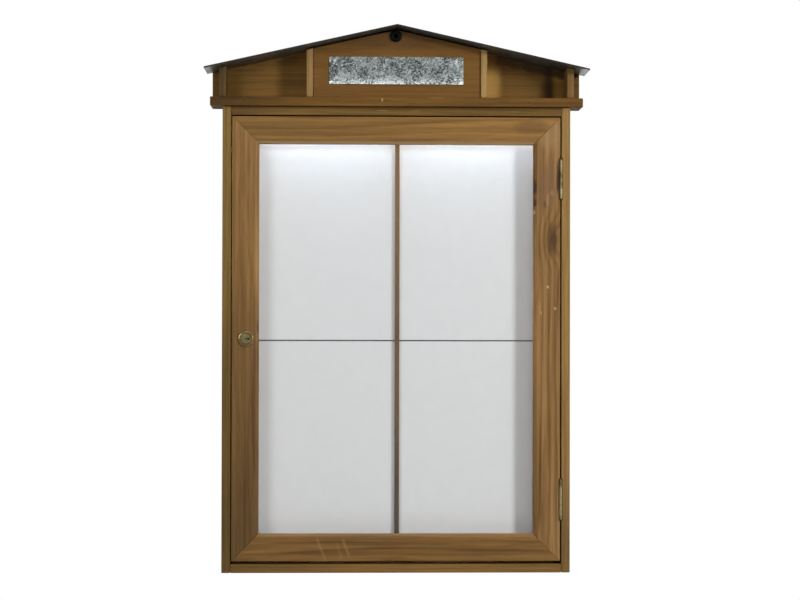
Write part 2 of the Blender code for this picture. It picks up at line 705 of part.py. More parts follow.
# Door
def member_outline():
    """Section of a stile or rail: a stepped moulding at the front and a rebate for the pane at the back."""
    edge = DOOR_ARRIS
    step = MEMBER_WIDTH - MOULDING_WIDTH
    shoulder = DOOR_BACK - REBATE_DEPTH
    return [
        (edge, DOOR_FRONT),
        (step, DOOR_FRONT),
        (step, DOOR_FRONT + MOULDING_STEP),
        (MEMBER_WIDTH, DOOR_FRONT + MOULDING_DEPTH),
        (MEMBER_WIDTH, shoulder),
        (MEMBER_WIDTH - REBATE_WIDTH, shoulder),
        (MEMBER_WIDTH - REBATE_WIDTH, DOOR_BACK),
        (edge, DOOR_BACK),
        (0.0, DOOR_BACK - edge),
        (0.0, DOOR_FRONT + edge),
    ]


def bead_outline():
    outer = MEMBER_WIDTH - REBATE_WIDTH + TOUCH
    inner = MEMBER_WIDTH - BEAD_SETBACK
    soft = DOOR_ARRIS * 2
    return [
        (outer, PANE_BACK + TOUCH),
        (inner, PANE_BACK + TOUCH),
        (inner, DOOR_BACK - soft),
        (inner - soft, DOOR_BACK),
        (outer, DOOR_BACK),
    ]


def framed(names, outline, material):
    """Four mitred bars round the door, from one section."""
    width = DOOR_RIGHT - DOOR_LEFT
    height = DOOR_TOP - DOOR_BOTTOM
    sides = (
        (height, (DOOR_LEFT, 0, DOOR_MIDDLE_Z), 0.0),
        (height, (DOOR_RIGHT, 0, DOOR_MIDDLE_Z), math.pi),
        (width, (DOOR_MIDDLE_X, 0, DOOR_TOP), math.pi / 2),
        (width, (DOOR_MIDDLE_X, 0, DOOR_BOTTOM), -math.pi / 2),
    )
    return [
        mitred_bar(name, outline, length, place, turn, material)
        for name, (length, place, turn) in zip(names, sides)
    ]


def make_door():
    names = ("door_left_stile", "door_right_stile", "door_top_rail", "door_bottom_rail")
    left, right, _, _ = framed(names, member_outline(), DOOR_WOOD)
    names = ("glazing_bead_left", "glazing_bead_right", "glazing_bead_top", "glazing_bead_bottom")
    framed(names, bead_outline(), DOOR_WOOD)
    reach = MEMBER_WIDTH - REBATE_WIDTH + PANE_PLAY
    box(
        "pane",
        (DOOR_LEFT + reach, DOOR_RIGHT - reach),
        (PANE_FRONT, PANE_BACK),
        (DOOR_BOTTOM + reach, DOOR_TOP - reach),
        CLEAR,
    )
    drill([left], BARREL_RADIUS + HOLE_PLAY, DOOR_THICKNESS * 2, lock_place())
    return right


# Hinges
def hinge_cutters(direction, wood_x):
    """The room for a leaf and for the knuckles in the wood at one side of the gap. The direction points
    from the axis into that wood."""
    cutters = []
    deep = LEAF_THICKNESS + TOUCH
    for z in HINGE_Z.values():
        zs = (z - HINGE_LENGTH / 2 - TOUCH, z + HINGE_LENGTH / 2 + TOUCH)
        seat_xs = (HINGE_X, wood_x + direction * deep)
        cutters.append(box("leaf_seat", seat_xs, (HINGE_Y, LEAF_BACK + TOUCH), zs, cutter=True))
        room = KNUCKLE_RADIUS + KNUCKLE_CLEARANCE
        room_xs = (HINGE_X, HINGE_X + direction * room)
        room_ys = (HINGE_Y - room, HINGE_Y + room)
        spare = PIN_HEAD_HEIGHT + TOUCH * 2
        room_zs = (zs[0] - spare, zs[1] + spare)
        cutters.append(box("knuckle_room", room_xs, room_ys, room_zs, cutter=True))
    return cutters


def make_leaf(name, z, direction, wood_x, knuckles):
    """A leaf let into the wood, with the knuckles that belong to it."""
    pitch = HINGE_LENGTH / KNUCKLES
    bottom = z - HINGE_LENGTH / 2
    xs = (wood_x, wood_x + direction * LEAF_THICKNESS)
    leaf = box(name, xs, (LEAF_FRONT, LEAF_BACK), (bottom, bottom + HINGE_LENGTH), BRASS)
    lows = [bottom + count * pitch + KNUCKLE_PLAY / 2 for count in knuckles]
    tall = pitch - KNUCKLE_PLAY
    for low in lows:
        tab_ys = (HINGE_Y, LEAF_FRONT + LEAF_THICKNESS)
        cut(leaf, box("knuckle_tab", xs, tab_ys, (low, low + tall), cutter=True), "UNION")
    for low in lows:
        profile = [(0.0, tall), (KNUCKLE_RADIUS, tall), (KNUCKLE_RADIUS, 0.0), (0.0, 0.0)]
        barrel = turned_mesh("barrel", profile, KNUCKLE_STEPS)
        place = Matrix.Translation((HINGE_X, HINGE_Y, low))
        cut(leaf, placed("knuckle_barrel", barrel, place, cutter=True), "UNION")
    place = Matrix.Translation((HINGE_X, HINGE_Y, z + HINGE_LENGTH))
    drill([leaf], PIN_RADIUS + PIN_PLAY, HINGE_LENGTH * 2, place)
    return leaf


def make_pin(name, z):
    """The hinge's pin, with a domed head at each end."""
    end = HINGE_LENGTH / 2 + TOUCH
    head = (PIN_HEAD_RADIUS, PIN_HEAD_HEIGHT)
    profile = arc((0.0, end), head, 90, 0, EDGE_STEPS) + [(PIN_RADIUS, end)]
    profile += [(PIN_RADIUS, -end)] + arc((0.0, -end), head, 0, -90, EDGE_STEPS)
    pin = turned_mesh(name, profile, SMALL_ROUND_STEPS)
    placed(name, pin, Matrix.Translation((HINGE_X, HINGE_Y, z)), BRASS)


def make_hinges(right_stile):
    right_side = bpy.data.objects["case_right_side"]
    for cutter in hinge_cutters(1, INNER_X):
        cut(right_side, cutter)
    for cutter in hinge_cutters(-1, DOOR_RIGHT):
        cut(right_stile, cutter)
    for where, z in HINGE_Z.items():
        make_leaf(f"{where}_hinge_case_leaf", z, 1, INNER_X, range(0, KNUCKLES, 2))
        make_leaf(f"{where}_hinge_door_leaf", z, -1, DOOR_RIGHT, range(1, KNUCKLES, 2))
        make_pin(f"{where}_hinge_pin", z)


# Lock
def lock_place():
    """The lock's shapes are made along Z with the door's front face at 0 and the front above it."""
    return facing((LOCK_X, DOOR_FRONT, LOCK_Z), (0, -1, 0))


def make_lock():
    barrel_end = DOOR_FRONT - BARREL_END
    mouth = PLUG_FACE_RADIUS + PLUG_PLAY
    bore = PLUG_RADIUS + PLUG_PLAY
    front = TOUCH + BEZEL_THICKNESS
    shelf = front - PLUG_FACE_THICKNESS - PLUG_PLAY
    soft = BEZEL_ROUND
    body = [(mouth, front)]
    body += arc((BEZEL_RADIUS - soft, front - soft), (soft, soft), 90, 0, EDGE_STEPS)
    body += [
        (BEZEL_RADIUS, TOUCH),
        (BARREL_RADIUS, TOUCH),
        (BARREL_RADIUS, barrel_end),
        (bore, barrel_end),
        (bore, shelf),
        (mouth, shelf),
        (mouth, front),
    ]
    placed("lock_body", turned_mesh("lock_body", body), lock_place(), BRASS)
    hexagon = arc((LOCK_X, LOCK_Z), (LOCK_NUT_RADIUS, LOCK_NUT_RADIUS), 0, 300, 5)
    nut = upright_panel("lock_nut", hexagon, DOOR_BACK + TOUCH, BARREL_END, BRASS)
    drill([nut], BARREL_RADIUS + HOLE_PLAY, DOOR_THICKNESS * 2, lock_place())
    plug = make_plug(front, shelf)
    cam = make_cam()
    _, shank, length = CAM_SCREW
    drill([plug, cam], shank + HOLE_PLAY, length + TOUCH, cam_screw_place())
    placed("cam_screw", pan_head(CAM_SCREW), cam_screw_place(), STEEL)


def cam_screw_place():
    return facing((LOCK_X, CAM_BACK, LOCK_Z), (0, 1, 0))


def make_plug(front, shelf):
    """The plug turns in the body: its face carries the keyway, its end carries the cam."""
    face_top = front - PLUG_FACE_SETBACK
    face_bottom = shelf + PLUG_PLAY
    end = DOOR_FRONT - CAM_FRONT + TOUCH
    profile = [
        (0.0, face_top),
        (PLUG_FACE_RADIUS - PLUG_FACE_CHAMFER, face_top),
        (PLUG_FACE_RADIUS, face_top - PLUG_FACE_CHAMFER),
        (PLUG_FACE_RADIUS, face_bottom),
        (PLUG_RADIUS, face_bottom),
        (PLUG_RADIUS, end),
        (0.0, end),
    ]
    plug = placed("lock_plug", turned_mesh("lock_plug", profile), lock_place(), BRASS)
    slot_left = LOCK_X - KEY_SLOT_WIDTH
    slot_front = DOOR_FRONT - front
    slot = box(
        "key_slot",
        (slot_left, slot_left + KEY_SLOT_LENGTH),
        (slot_front - TOUCH, slot_front + KEY_SLOT_DEPTH),
        (LOCK_Z - KEY_SLOT_WIDTH / 2, LOCK_Z + KEY_SLOT_WIDTH / 2),
        cutter=True,
    )
    cut(plug, slot)
    return plug


def make_cam():
    """The cam hangs straight down when the lock is open. It is a round hub with an arm."""
    arm = CAM_WIDTH / 2
    lean = math.degrees(math.asin(arm / CAM_HUB_RADIUS))
    hub = (CAM_HUB_RADIUS, CAM_HUB_RADIUS)
    outline = arc((0.0, 0.0), hub, lean - 90, 270 - lean, SMALL_ROUND_STEPS)
    tip = CAM_TIP_CHAMFER
    outline += [(-arm, tip - CAM_REACH), (tip - arm, -CAM_REACH)]
    outline += [(arm - tip, -CAM_REACH), (arm, tip - CAM_REACH)]
    cam = upright_panel("lock_cam", outline, CAM_FRONT, CAM_BACK, STEEL)
    cam.location += Vector((LOCK_X, 0, LOCK_Z))
    return cam


def keeper_screw_places():
    x = -INNER_X + TOUCH + KEEPER_THICKNESS
    y = DOOR_BACK + KEEPER_BEHIND_DOOR + KEEPER_THICKNESS + (KEEPER_LEG - KEEPER_THICKNESS) / 2
    return {
        "lower_keeper_screw": facing((x, y, LOCK_Z - KEEPER_SCREW_Z), (1, 0, 0)),
        "upper_keeper_screw": facing((x, y, LOCK_Z + KEEPER_SCREW_Z), (1, 0, 0)),
    }


def make_keeper():
    """An angle plate on the left side board: the cam turns behind its short leg."""
    front = DOOR_BACK + KEEPER_BEHIND_DOOR
    left = -INNER_X + TOUCH
    outline = [
        (left, front),
        (left + KEEPER_REACH, front),
        (left + KEEPER_REACH, front + KEEPER_THICKNESS),
        (left + KEEPER_THICKNESS, front + KEEPER_THICKNESS),
        (left + KEEPER_THICKNESS, front + KEEPER_LEG),
        (left, front + KEEPER_LEG),
    ]
    keeper = add_object("lock_keeper", extruded("lock_keeper", outline, KEEPER_HEIGHT), STEEL)
    keeper.location = (0, 0, LOCK_Z)
    left_side = bpy.data.objects["case_left_side"]
    _, shank, length = KEEPER_SCREW
    for name, place in keeper_screw_places().items():
        drill([keeper, left_side], shank + HOLE_PLAY, length + TOUCH * 2, place)
        placed(name, pan_head(KEEPER_SCREW), place, STEEL)


# What turns
def carry(axis, pieces):
    """Fasten pieces and what shapes them to the empty that they turn with."""
    for piece in pieces:
        shapers = [step.object for step in piece.modifiers if step.type == "BOOLEAN"]
        for part in [piece, *shapers]:
            part.parent = axis
            part.matrix_parent_inverse = axis.matrix_world.inverted()


def make_axis(name, place, piece_names):
    axis = bpy.data.objects.new(name, None)
    axis.location = place
    PARTS.objects.link(axis)
    bpy.context.view_layer.update()
    carry(axis, [bpy.data.objects[piece] for piece in piece_names])
    return axis


def make_axes():
    """An empty on each joint's axis: turning it about its Z opens the door, about its Y turns the lock."""
    sides = ("left", "right", "top", "bottom")
    door = ["door_left_stile", "door_right_stile", "door_top_rail", "door_bottom_rail", "pane"]
    door += [f"glazing_bead_{side}" for side in sides]
    door += ["upper_hinge_door_leaf", "lower_hinge_door_leaf", "lock_body", "lock_nut"]
    lock = make_axis("lock_axis", (LOCK_X, DOOR_FRONT, LOCK_Z), ["lock_plug", "lock_cam", "cam_screw"])
    door_axis = make_axis("door_axis", (HINGE_X, HINGE_Y, 0), door)
    carry(door_axis, [lock])


make_case()
make_back()
make_hangers()
make_display()
make_gable()
make_roof()
make_sign()
make_light()
make_hinges(make_door())
make_lock()
make_keeper()
make_axes()
bpy.context.view_layer.update()
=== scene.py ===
# %% [markdown]
# # A wooden display case with its own light
# The case hangs on a wall and shows four white sheets behind a glazed door with a lock. Its solids come
# from the frame, each with its real size and place. This script gives them their looks: wood with a grain
# that follows each board, brass, galvanised steel, glass and a light that shines. It adds what is too small
# or too round for plain solids: screws, brads, the lock's face and a rubber ring.

import json
import math

import bmesh
import bpy
from mathutils import Matrix, Vector

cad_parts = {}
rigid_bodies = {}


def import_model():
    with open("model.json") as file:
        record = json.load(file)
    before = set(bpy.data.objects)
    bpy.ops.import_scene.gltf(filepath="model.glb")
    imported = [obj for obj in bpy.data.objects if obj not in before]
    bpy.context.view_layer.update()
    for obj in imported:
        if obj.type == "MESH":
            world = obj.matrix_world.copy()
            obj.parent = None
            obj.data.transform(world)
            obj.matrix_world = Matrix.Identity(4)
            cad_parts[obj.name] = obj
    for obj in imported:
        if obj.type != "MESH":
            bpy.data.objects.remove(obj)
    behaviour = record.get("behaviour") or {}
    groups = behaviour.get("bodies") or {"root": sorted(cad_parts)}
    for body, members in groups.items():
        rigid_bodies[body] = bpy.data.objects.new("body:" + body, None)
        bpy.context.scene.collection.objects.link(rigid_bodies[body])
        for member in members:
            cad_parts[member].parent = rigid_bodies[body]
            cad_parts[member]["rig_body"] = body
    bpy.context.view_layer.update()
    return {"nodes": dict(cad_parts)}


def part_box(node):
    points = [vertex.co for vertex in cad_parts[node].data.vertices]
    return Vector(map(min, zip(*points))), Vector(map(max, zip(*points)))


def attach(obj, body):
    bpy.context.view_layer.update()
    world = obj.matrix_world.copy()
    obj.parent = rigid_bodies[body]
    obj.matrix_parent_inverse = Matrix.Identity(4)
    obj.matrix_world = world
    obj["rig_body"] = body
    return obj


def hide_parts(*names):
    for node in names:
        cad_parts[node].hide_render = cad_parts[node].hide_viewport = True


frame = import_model()
nodes = frame["nodes"]

# %% [markdown]
# An object shows once it is in the scene. A short function makes one from its data and puts it there.

# %% Objects
def new_object(name, data):
    item = bpy.data.objects.new(name, data)
    bpy.context.scene.collection.objects.link(item)
    return item


# %% [markdown]
# ## The camera
# The camera stands 2.6 m in front of the door, a little to the left of its middle and about level with the
# lock, and looks slightly to the right. These values put the corners of the roof, the cornice, the case and
# the door where the photograph has them, to about half a pixel.

# %% Camera
EYE = Vector((-0.0637, -2.6440, 0.0395))
TURN = math.radians(-1.519)
TILT = math.radians(0.444)
ROLL = math.radians(0.124)
LENS_MM = 77.78
SENSOR_MM = 36.0

camera = new_object("camera", bpy.data.cameras.new("camera"))
camera.data.lens = LENS_MM
camera.data.sensor_width = SENSOR_MM
turned_round = Matrix.Rotation(TURN, 4, "Z") @ Matrix.Rotation(math.pi / 2 + TILT, 4, "X")
camera.matrix_world = Matrix.Translation(EYE) @ turned_round @ Matrix.Rotation(ROLL, 4, "Z")
bpy.context.scene.camera = camera
print("camera at", tuple(EYE), "lens", LENS_MM, "mm")


# %% [markdown]
# ## Helpers for materials
# A material is a tree of nodes. Writing one by hand takes many lines, so a few helpers keep each step to
# one. A Value is what a node gives out, and a sum with it is written as any other sum: each sign adds a
# Math node, or a Vector Math node where vectors are in it. Colours are written as screen values from 0 to
# 255 and turned into the linear values that light needs.

# %% Node helpers
WHITE = (1.0, 1.0, 1.0, 1.0)
BLACK = (0.0, 0.0, 0.0, 1.0)
HALF = (0.5, 0.5, 0.5)


def colour(red, green, blue):
    """A screen colour as the linear colour that a shader takes."""
    linear = []
    for value in (red / 255, green / 255, blue / 255):
        linear.append(value / 12.92 if value <= 0.04045 else ((value + 0.055) / 1.055) ** 2.4)
    return (*linear, 1.0)


class Value:
    """What a socket gives, for sums with other values and plain numbers."""

    def __init__(self, socket):
        self.socket = socket
        self.tree = socket.id_data
        self.is_vector = socket.type in ("VECTOR", "RGBA")

    def __add__(self, other):
        return calc("ADD", self, other)

    def __sub__(self, other):
        return calc("SUBTRACT", self, other)

    def __rsub__(self, other):
        return calc("SUBTRACT", other, self)

    def __mul__(self, other):
        scaled = self.is_vector and not isinstance(other, tuple)
        return calc("SCALE" if scaled else "MULTIPLY", self, other)

    def __truediv__(self, other):
        return calc("DIVIDE", self, other)


class Outputs:
    """A node's outputs as values, asked for by name or by number."""

    def __init__(self, node):
        self.sockets = node.outputs

    def __getitem__(self, key):
        return Value(self.sockets[key])


def fill(node, inputs):
    """Set a node's inputs, each to another node's value or to a plain one."""
    for key, value in inputs.items():
        if isinstance(value, Value):
            node.id_data.links.new(value.socket, node.inputs[key])
        else:
            node.inputs[key].default_value = value


def add(tree, kind, inputs=None, **settings):
    """A new node, with its own settings and its inputs. It returns what the node gives."""
    node = tree.nodes.new(kind)
    for name, value in settings.items():
        setattr(node, name, value)
    fill(node, inputs or {})
    return Outputs(node)


def calc(operation, *values, clamp=False):
    """A sum as a Math node, or as a Vector Math node where one of the values is a vector."""
    known = [value for value in values if isinstance(value, Value)]
    inputs = dict(enumerate(values))
    if not any(value.is_vector for value in known):
        return add(known[0].tree, "ShaderNodeMath", inputs, operation=operation, use_clamp=clamp)[0]
    if operation == "SCALE":
        inputs["Scale"] = inputs.pop(1)
    node = add(known[0].tree, "ShaderNodeVectorMath", inputs, operation=operation)
    return node["Value" if operation in ("DOT_PRODUCT", "LENGTH") else "Vector"]


def blend(share, first, second, kind="MIX"):
    """Two colours, mixed by a share."""
    tree = next(value.tree for value in (share, first, second) if isinstance(value, Value))
    return add(tree, "ShaderNodeMix", {0: share, 6: first, 7: second}, data_type="RGBA", blend_type=kind)[2]


def ramp(value, low, high, to_low=0.0, to_high=1.0, smooth=True):
    """The value's way from low to high, as a way between two other values."""
    inputs = {"Value": value, "From Min": low, "From Max": high, "To Min": to_low, "To Max": to_high}
    kind = "SMOOTHSTEP" if smooth else "LINEAR"
    return add(value.tree, "ShaderNodeMapRange", inputs, interpolation_type=kind)["Result"]


def noise(vector, scale, detail=2.0, roughness=0.5, out="Fac"):
    inputs = {"Vector": vector, "Scale": scale, "Detail": detail, "Roughness": roughness}
    return add(vector.tree, "ShaderNodeTexNoise", inputs)[out]


def part(vector, axis):
    """One of a vector's three numbers."""
    return add(vector.tree, "ShaderNodeSeparateXYZ", {0: vector})[axis]


def shifted(vector, seed):
    """A vector moved by the same number on all three axes."""
    return vector + add(vector.tree, "ShaderNodeCombineXYZ", {axis: seed for axis in "XYZ"})[0]


def relief(tree, height, distance, strength, **more):
    inputs = {"Height": height, "Distance": distance, "Strength": strength, **more}
    return add(tree, "ShaderNodeBump", inputs)["Normal"]


def object_place(tree):
    return add(tree, "ShaderNodeTexCoord")["Object"]


def new_group(name, inputs, outputs):
    """A shader node group. Each input has its first value, each output its kind."""
    tree = bpy.data.node_groups.new(name, "ShaderNodeTree")
    for label, value in inputs.items():
        kind = {3: "Vector", 4: "Color"}[len(value)] if isinstance(value, tuple) else "Float"
        socket = tree.interface.new_socket(label, in_out="INPUT", socket_type="NodeSocket" + kind)
        socket.default_value = value
    for label, kind in outputs.items():
        tree.interface.new_socket(label, in_out="OUTPUT", socket_type="NodeSocket" + kind)
    return tree, Outputs(tree.nodes.new("NodeGroupInput")), tree.nodes.new("NodeGroupOutput")


def use_group(tree, group, inputs):
    return add(tree, "ShaderNodeGroup", inputs, node_tree=group)


def input_names(figure):
    """A group's inputs under their own names, from names with _ for a space."""
    return {label.replace("_", " ").title(): value for label, value in figure.items()}


# %% [markdown]
# ## Wood grain as a group
# A softwood board shows growth rings as long bands that bend round knots, fine streaks along the grain, and
# a stain that took unevenly. A picture of wood could be laid on, but it would look the same on every board
# and break off at the ends. So all of it follows from the place of a point on the object. The place is
# squeezed along the grain, so that a round noise becomes a long streak. The rings are the distance from the
# heart of the tree, a line near the board, and a knot pushes them aside. It is one group because every
# board uses it, each with its own colours, heart and knot.

# %% Grain group
SURFACE = {"Color": "Color", "Roughness": "Float", "Height": "Float"}
LONG, FLECK, STREAK = 0.16, 0.10, 0.028  # shares of the length that are left along the grain
KNOT_LENGTH = 0.55
WANDER = ((9.0, 0.026), (55.0, 0.0035))  # how often a ring wanders, and how far
PALE_WOOD = colour(214, 190, 150)
DEEPER = (0.42, 0.36, 0.30, 1.0)


def make_grain():
    tree, given, result = new_group("stained_grain", {
        "Vector": (0, 0, 0), "Grain": (0, 0, 1), "Pale": WHITE, "Dark": BLACK, "Heart": (0, 0.05, 0),
        "Ring Width": 0.004, "Rings": 0.32, "Streaks": 0.4, "Blotches": 0.3, "Flecks": 0.0,
        "Knot": (9, 9, 9), "Knot Radius": 0.006, "Seed": 0.0,
    }, SURFACE)
    place, grain = given["Vector"], given["Grain"]

    def squeezed(share, source=place):
        """The place with its length along the grain squeezed to a share."""
        return source + grain * (calc("DOT_PRODUCT", source, grain) * (share - 1.0))

    long_place = shifted(squeezed(LONG), given["Seed"])
    streak_place = shifted(squeezed(STREAK), given["Seed"])
    fleck_place = shifted(squeezed(FLECK), given["Seed"])

    knot_way = calc("LENGTH", squeezed(KNOT_LENGTH, place - given["Knot"])) / given["Knot Radius"]
    knot_pull = ramp(knot_way, 0.0, 4.5, 1.0, 0.0)
    knot_core = ramp(knot_way, 0.45, 1.25, 1.0, 0.0)

    distance = calc("LENGTH", squeezed(0.0, place - given["Heart"]))
    wander, wobble = (noise(long_place, scale) * reach for scale, reach in WANDER)
    distance = distance + wander + (wobble + knot_pull * (given["Knot Radius"] * 2.4))
    ring = calc("FRACT", distance / given["Ring Width"])
    rings = calc("POWER", ring, 2.2) * ramp(ring, 0.86, 1.0, 1.0, 0.0)

    streaks = ramp(noise(streak_place, 210.0, 4.0, 0.62), 0.32, 0.70)
    blotches = ramp(noise(long_place, 17.0, 3.0, 0.55), 0.30, 0.72)
    pores = ramp(noise(streak_place, 900.0), 0.56, 0.74)
    flecks = ramp(noise(fleck_place, 130.0, 1.0), 0.70, 0.76)

    dark = rings * given["Rings"] + streaks * given["Streaks"]
    dark = calc("ADD", dark, blotches * given["Blotches"], clamp=True)
    deep = blend(1.0, given["Dark"], DEEPER, "MULTIPLY")
    shade = blend(dark, given["Pale"], given["Dark"])
    shade = blend(pores * 0.35, shade, deep)
    shade = blend(knot_pull * 0.45, shade, given["Dark"])
    shade = blend(knot_core * 0.5, shade, deep)
    shade = blend(flecks * given["Flecks"], shade, blend(0.5, given["Pale"], PALE_WOOD))
    height = streaks * -0.5 + rings * 0.35 - pores * 0.4
    rough = ramp(streaks, 0.0, 1.0, 0.52, 0.72, False)
    fill(result, {"Color": shade, "Roughness": rough, "Height": height})
    return tree


GRAIN = make_grain()
print("grain group with", len(GRAIN.nodes), "nodes")


# %% [markdown]
# ## Worn and highlighted edges as a group
# Handling rubs stain and finish off an edge first. Such wear could be painted on edge by edge, but a mask
# finds all the edges by itself. A Bevel node gives the normal of a rounded edge. Where it differs from the
# surface's own normal an edge is near, and the difference is the mask. Noise breaks it up, so that the wear
# comes and goes. The same group serves wood and metal, and on galvanised sheet its mask lays a painted
# highlight along the cut edges.

# %% Edge group
FLAT, TURNED_AWAY = 0.995, 0.86  # how far the rounded normal agrees with the surface's own


def make_edge_group():
    inputs = {"Radius": 0.001, "Amount": 1.0, "Patch Scale": 60.0}
    tree, given, result = new_group("edge_wear", inputs, {"Mask": "Float", "Normal": "Vector"})
    rounded = add(tree, "ShaderNodeBevel", {"Radius": given["Radius"]}, samples=4)[0]
    own = add(tree, "ShaderNodeNewGeometry")["Normal"]
    edge = ramp(calc("DOT_PRODUCT", rounded, own), FLAT, TURNED_AWAY)
    patches = ramp(noise(object_place(tree), given["Patch Scale"], 3.0), 0.34, 0.62)
    mask = calc("MULTIPLY", edge * patches, given["Amount"], clamp=True)
    fill(result, {"Mask": mask, "Normal": rounded})
    return tree


EDGE_WEAR_AND_HIGHLIGHT = make_edge_group()


# %% [markdown]
# ## Marks in the wood and painted light as a group
# A board also has marks of its own: a stain, a bruise, a pale chip where a splinter left. Noise alone would
# put them anywhere, and each belongs in its place. So each is a soft spot about a point, longer one way than
# the other, and noise only makes its outline ragged. The group gives the mask of one spot, and a board can
# have several. The same spots also lay painted shade and light on boards: painted shade beside the upper
# hinge, painted shadows under the roof and the cornice, and a painted pool of light in the gable.

# %% Mark group
def make_mark():
    inputs = {"Vector": (0, 0, 0), "Centre": (9, 9, 9), "Reach": (0.01, 0.01, 0.01), "Raggedness": 1.1}
    tree, given, result = new_group("mark_in_wood", inputs, {"Mask": "Float"})
    share = (given["Vector"] - given["Centre"]) / given["Reach"]
    push = (noise(share, 1.6, 3.0, out="Color") - HALF) * given["Raggedness"]
    fill(result, {"Mask": ramp(calc("LENGTH", share + push), 0.35, 1.15, 1.0, 0.0)})
    return tree


MARK = make_mark()


# %% [markdown]
# ## One material for each board
# Boards from different planks differ in colour and figure, and that makes joinery look like joinery. So
# each board gets its own material: the same groups, with its own pair of stain colours, the direction of
# its grain, and a seed. The shader stays in the material, and the groups only give it colours, masks,
# roughness, normals and heights.

# %% Wood material
GRAIN_ALONG = {"x": (1, 0, 0), "z": (0, 0, 1)}
WEAR = 0.5
WEAR_RADIUS = 0.0012
WEAR_SHARE = 0.55
RUBBED_WOOD = colour(196, 164, 118)
WOOD_SHEEN = 0.22
GRAIN_BUMP = 0.00025


def new_material(name):
    """An empty material, with its tree and its Principled shader."""
    material = bpy.data.materials.new(name)
    material.use_nodes = True
    tree = material.node_tree
    return material, tree, tree.nodes["Principled BSDF"]


def finish(shader, shade, rough, normal, others):
    fill(shader, {"Base Color": shade, "Roughness": rough, "Normal": normal, **others})


def grey(tone):
    return (tone, tone, tone, 1.0)


def stained_wood(name, along, pale, dark, seed, heart, shades=(), marks=(), **figure):
    """A stained board. Shades are places along it with a tone, from one end to the other. Marks are
    spots on it: a centre, a reach, a colour and a strength. The figure sets the grain group's other
    inputs, with _ for a space."""
    material, tree, shader = new_material(name)
    place = object_place(tree)
    pale, dark = colour(*pale), colour(*dark)
    inputs = {"Vector": place, "Grain": GRAIN_ALONG[along], "Pale": pale, "Dark": dark, "Heart": heart}
    grain = use_group(tree, GRAIN, {**inputs, "Seed": seed, **input_names(figure)})
    edge = use_group(tree, EDGE_WEAR_AND_HIGHLIGHT, {"Radius": WEAR_RADIUS, "Amount": WEAR})
    worn = tuple((own + rubbed) / 2 for own, rubbed in zip(pale, RUBBED_WOOD))
    shade = blend(edge["Mask"] * WEAR_SHARE, grain["Color"], worn)
    if shades:
        tone = grey(shades[0][1])
        for (low, _), (high, high_tone) in zip(shades, shades[1:]):
            tone = blend(ramp(part(place, along.upper()), low, high), tone, grey(high_tone))
        shade = blend(1.0, shade, tone, "MULTIPLY")
    for centre, reach, tone, strength in marks:
        spot = use_group(tree, MARK, {"Vector": place, "Centre": centre, "Reach": reach})
        shade = blend(spot["Mask"] * strength, shade, colour(*tone))
    normal = relief(tree, grain["Height"], GRAIN_BUMP, 0.5, Normal=edge["Normal"])
    finish(shader, shade, grain["Roughness"], normal, {"Specular IOR Level": WOOD_SHEEN})
    return material


# %% [markdown]
# ## The boards
# Each line is one board: the way its grain runs, its pale and its dark tone, a seed, and the heart of its
# tree, which sets how the rings cross it. The case's sides are olive brown, the door's frame warmer, the
# cornice and the gable deeper, and the two fins pale.

# %% Board materials
BEHIND = 0.03
BOARDS = {
    "case_left_side": ("z", (136, 107, 53), (92, 69, 30), 1.3, (-0.29, BEHIND, 0)),
    "case_right_side": ("z", (174, 136, 78), (124, 93, 48), 4.1, (0.31, BEHIND, 0)),
    "case_top_board": ("x", (137, 104, 50), (92, 66, 27), 7.7, (0, BEHIND, 0.30)),
    "case_bottom_board": ("x", (147, 111, 58), (100, 72, 33), 9.2, (0, BEHIND, -0.39)),
    "back_panel": ("z", (176, 142, 96), (138, 105, 62), 3.4, (0.02, 0.30, 0)),
    "centre_divider": ("z", (140, 104, 56), (84, 58, 27), 2.6, (0, BEHIND, 0)),
    "left_sheet_batten": ("z", (134, 108, 74), (80, 60, 38), 5.6, (-0.25, BEHIND, 0)),
    "right_sheet_batten": ("z", (134, 108, 74), (80, 60, 38), 8.6, (0.25, BEHIND, 0)),
    "cornice_board": ("x", (134, 94, 36), (70, 46, 13), 6.5, (0, BEHIND, 0.34)),
    "pediment_back": ("x", (150, 110, 48), (94, 66, 24), 2.2, (0, 0.05, 0.38)),
    "pediment_left_end": ("z", (106, 79, 41), (66, 47, 21), 1.9, (-0.30, BEHIND, 0)),
    "pediment_right_end": ("z", (140, 108, 60), (84, 60, 30), 3.8, (0.30, BEHIND, 0)),
    "left_fin": ("z", (166, 131, 82), (122, 90, 48), 5.9, (-0.16, BEHIND, 0)),
    "right_fin": ("z", (182, 148, 92), (134, 103, 55), 7.4, (0.16, BEHIND, 0)),
    "sign_panel": ("x", (134, 94, 40), (88, 58, 20), 8.1, (0, 0.04, 0.46)),
    "door_left_stile": ("z", (152, 116, 68), (102, 70, 35), 2.9, (-0.20, BEHIND, 0)),
    "door_right_stile": ("z", (181, 139, 86), (106, 73, 36), 6.8, (0.20, 0.0, 0)),
    "door_top_rail": ("x", (166, 126, 68), (118, 84, 41), 4.6, (0, BEHIND, 0.36)),
    "door_bottom_rail": ("x", (150, 111, 60), (94, 64, 30), 1.1, (0, 0.01, -0.34)),
    "glazing_bead_left": ("z", (152, 116, 68), (102, 70, 35), 3.1, (-0.18, BEHIND, 0)),
    "glazing_bead_right": ("z", (175, 136, 84), (106, 73, 36), 7.2, (0.18, BEHIND, 0)),
    "glazing_bead_top": ("x", (166, 126, 68), (118, 84, 41), 5.2, (0, BEHIND, 0.33)),
    "glazing_bead_bottom": ("x", (150, 111, 60), (94, 64, 30), 2.1, (0, BEHIND, -0.33)),
}
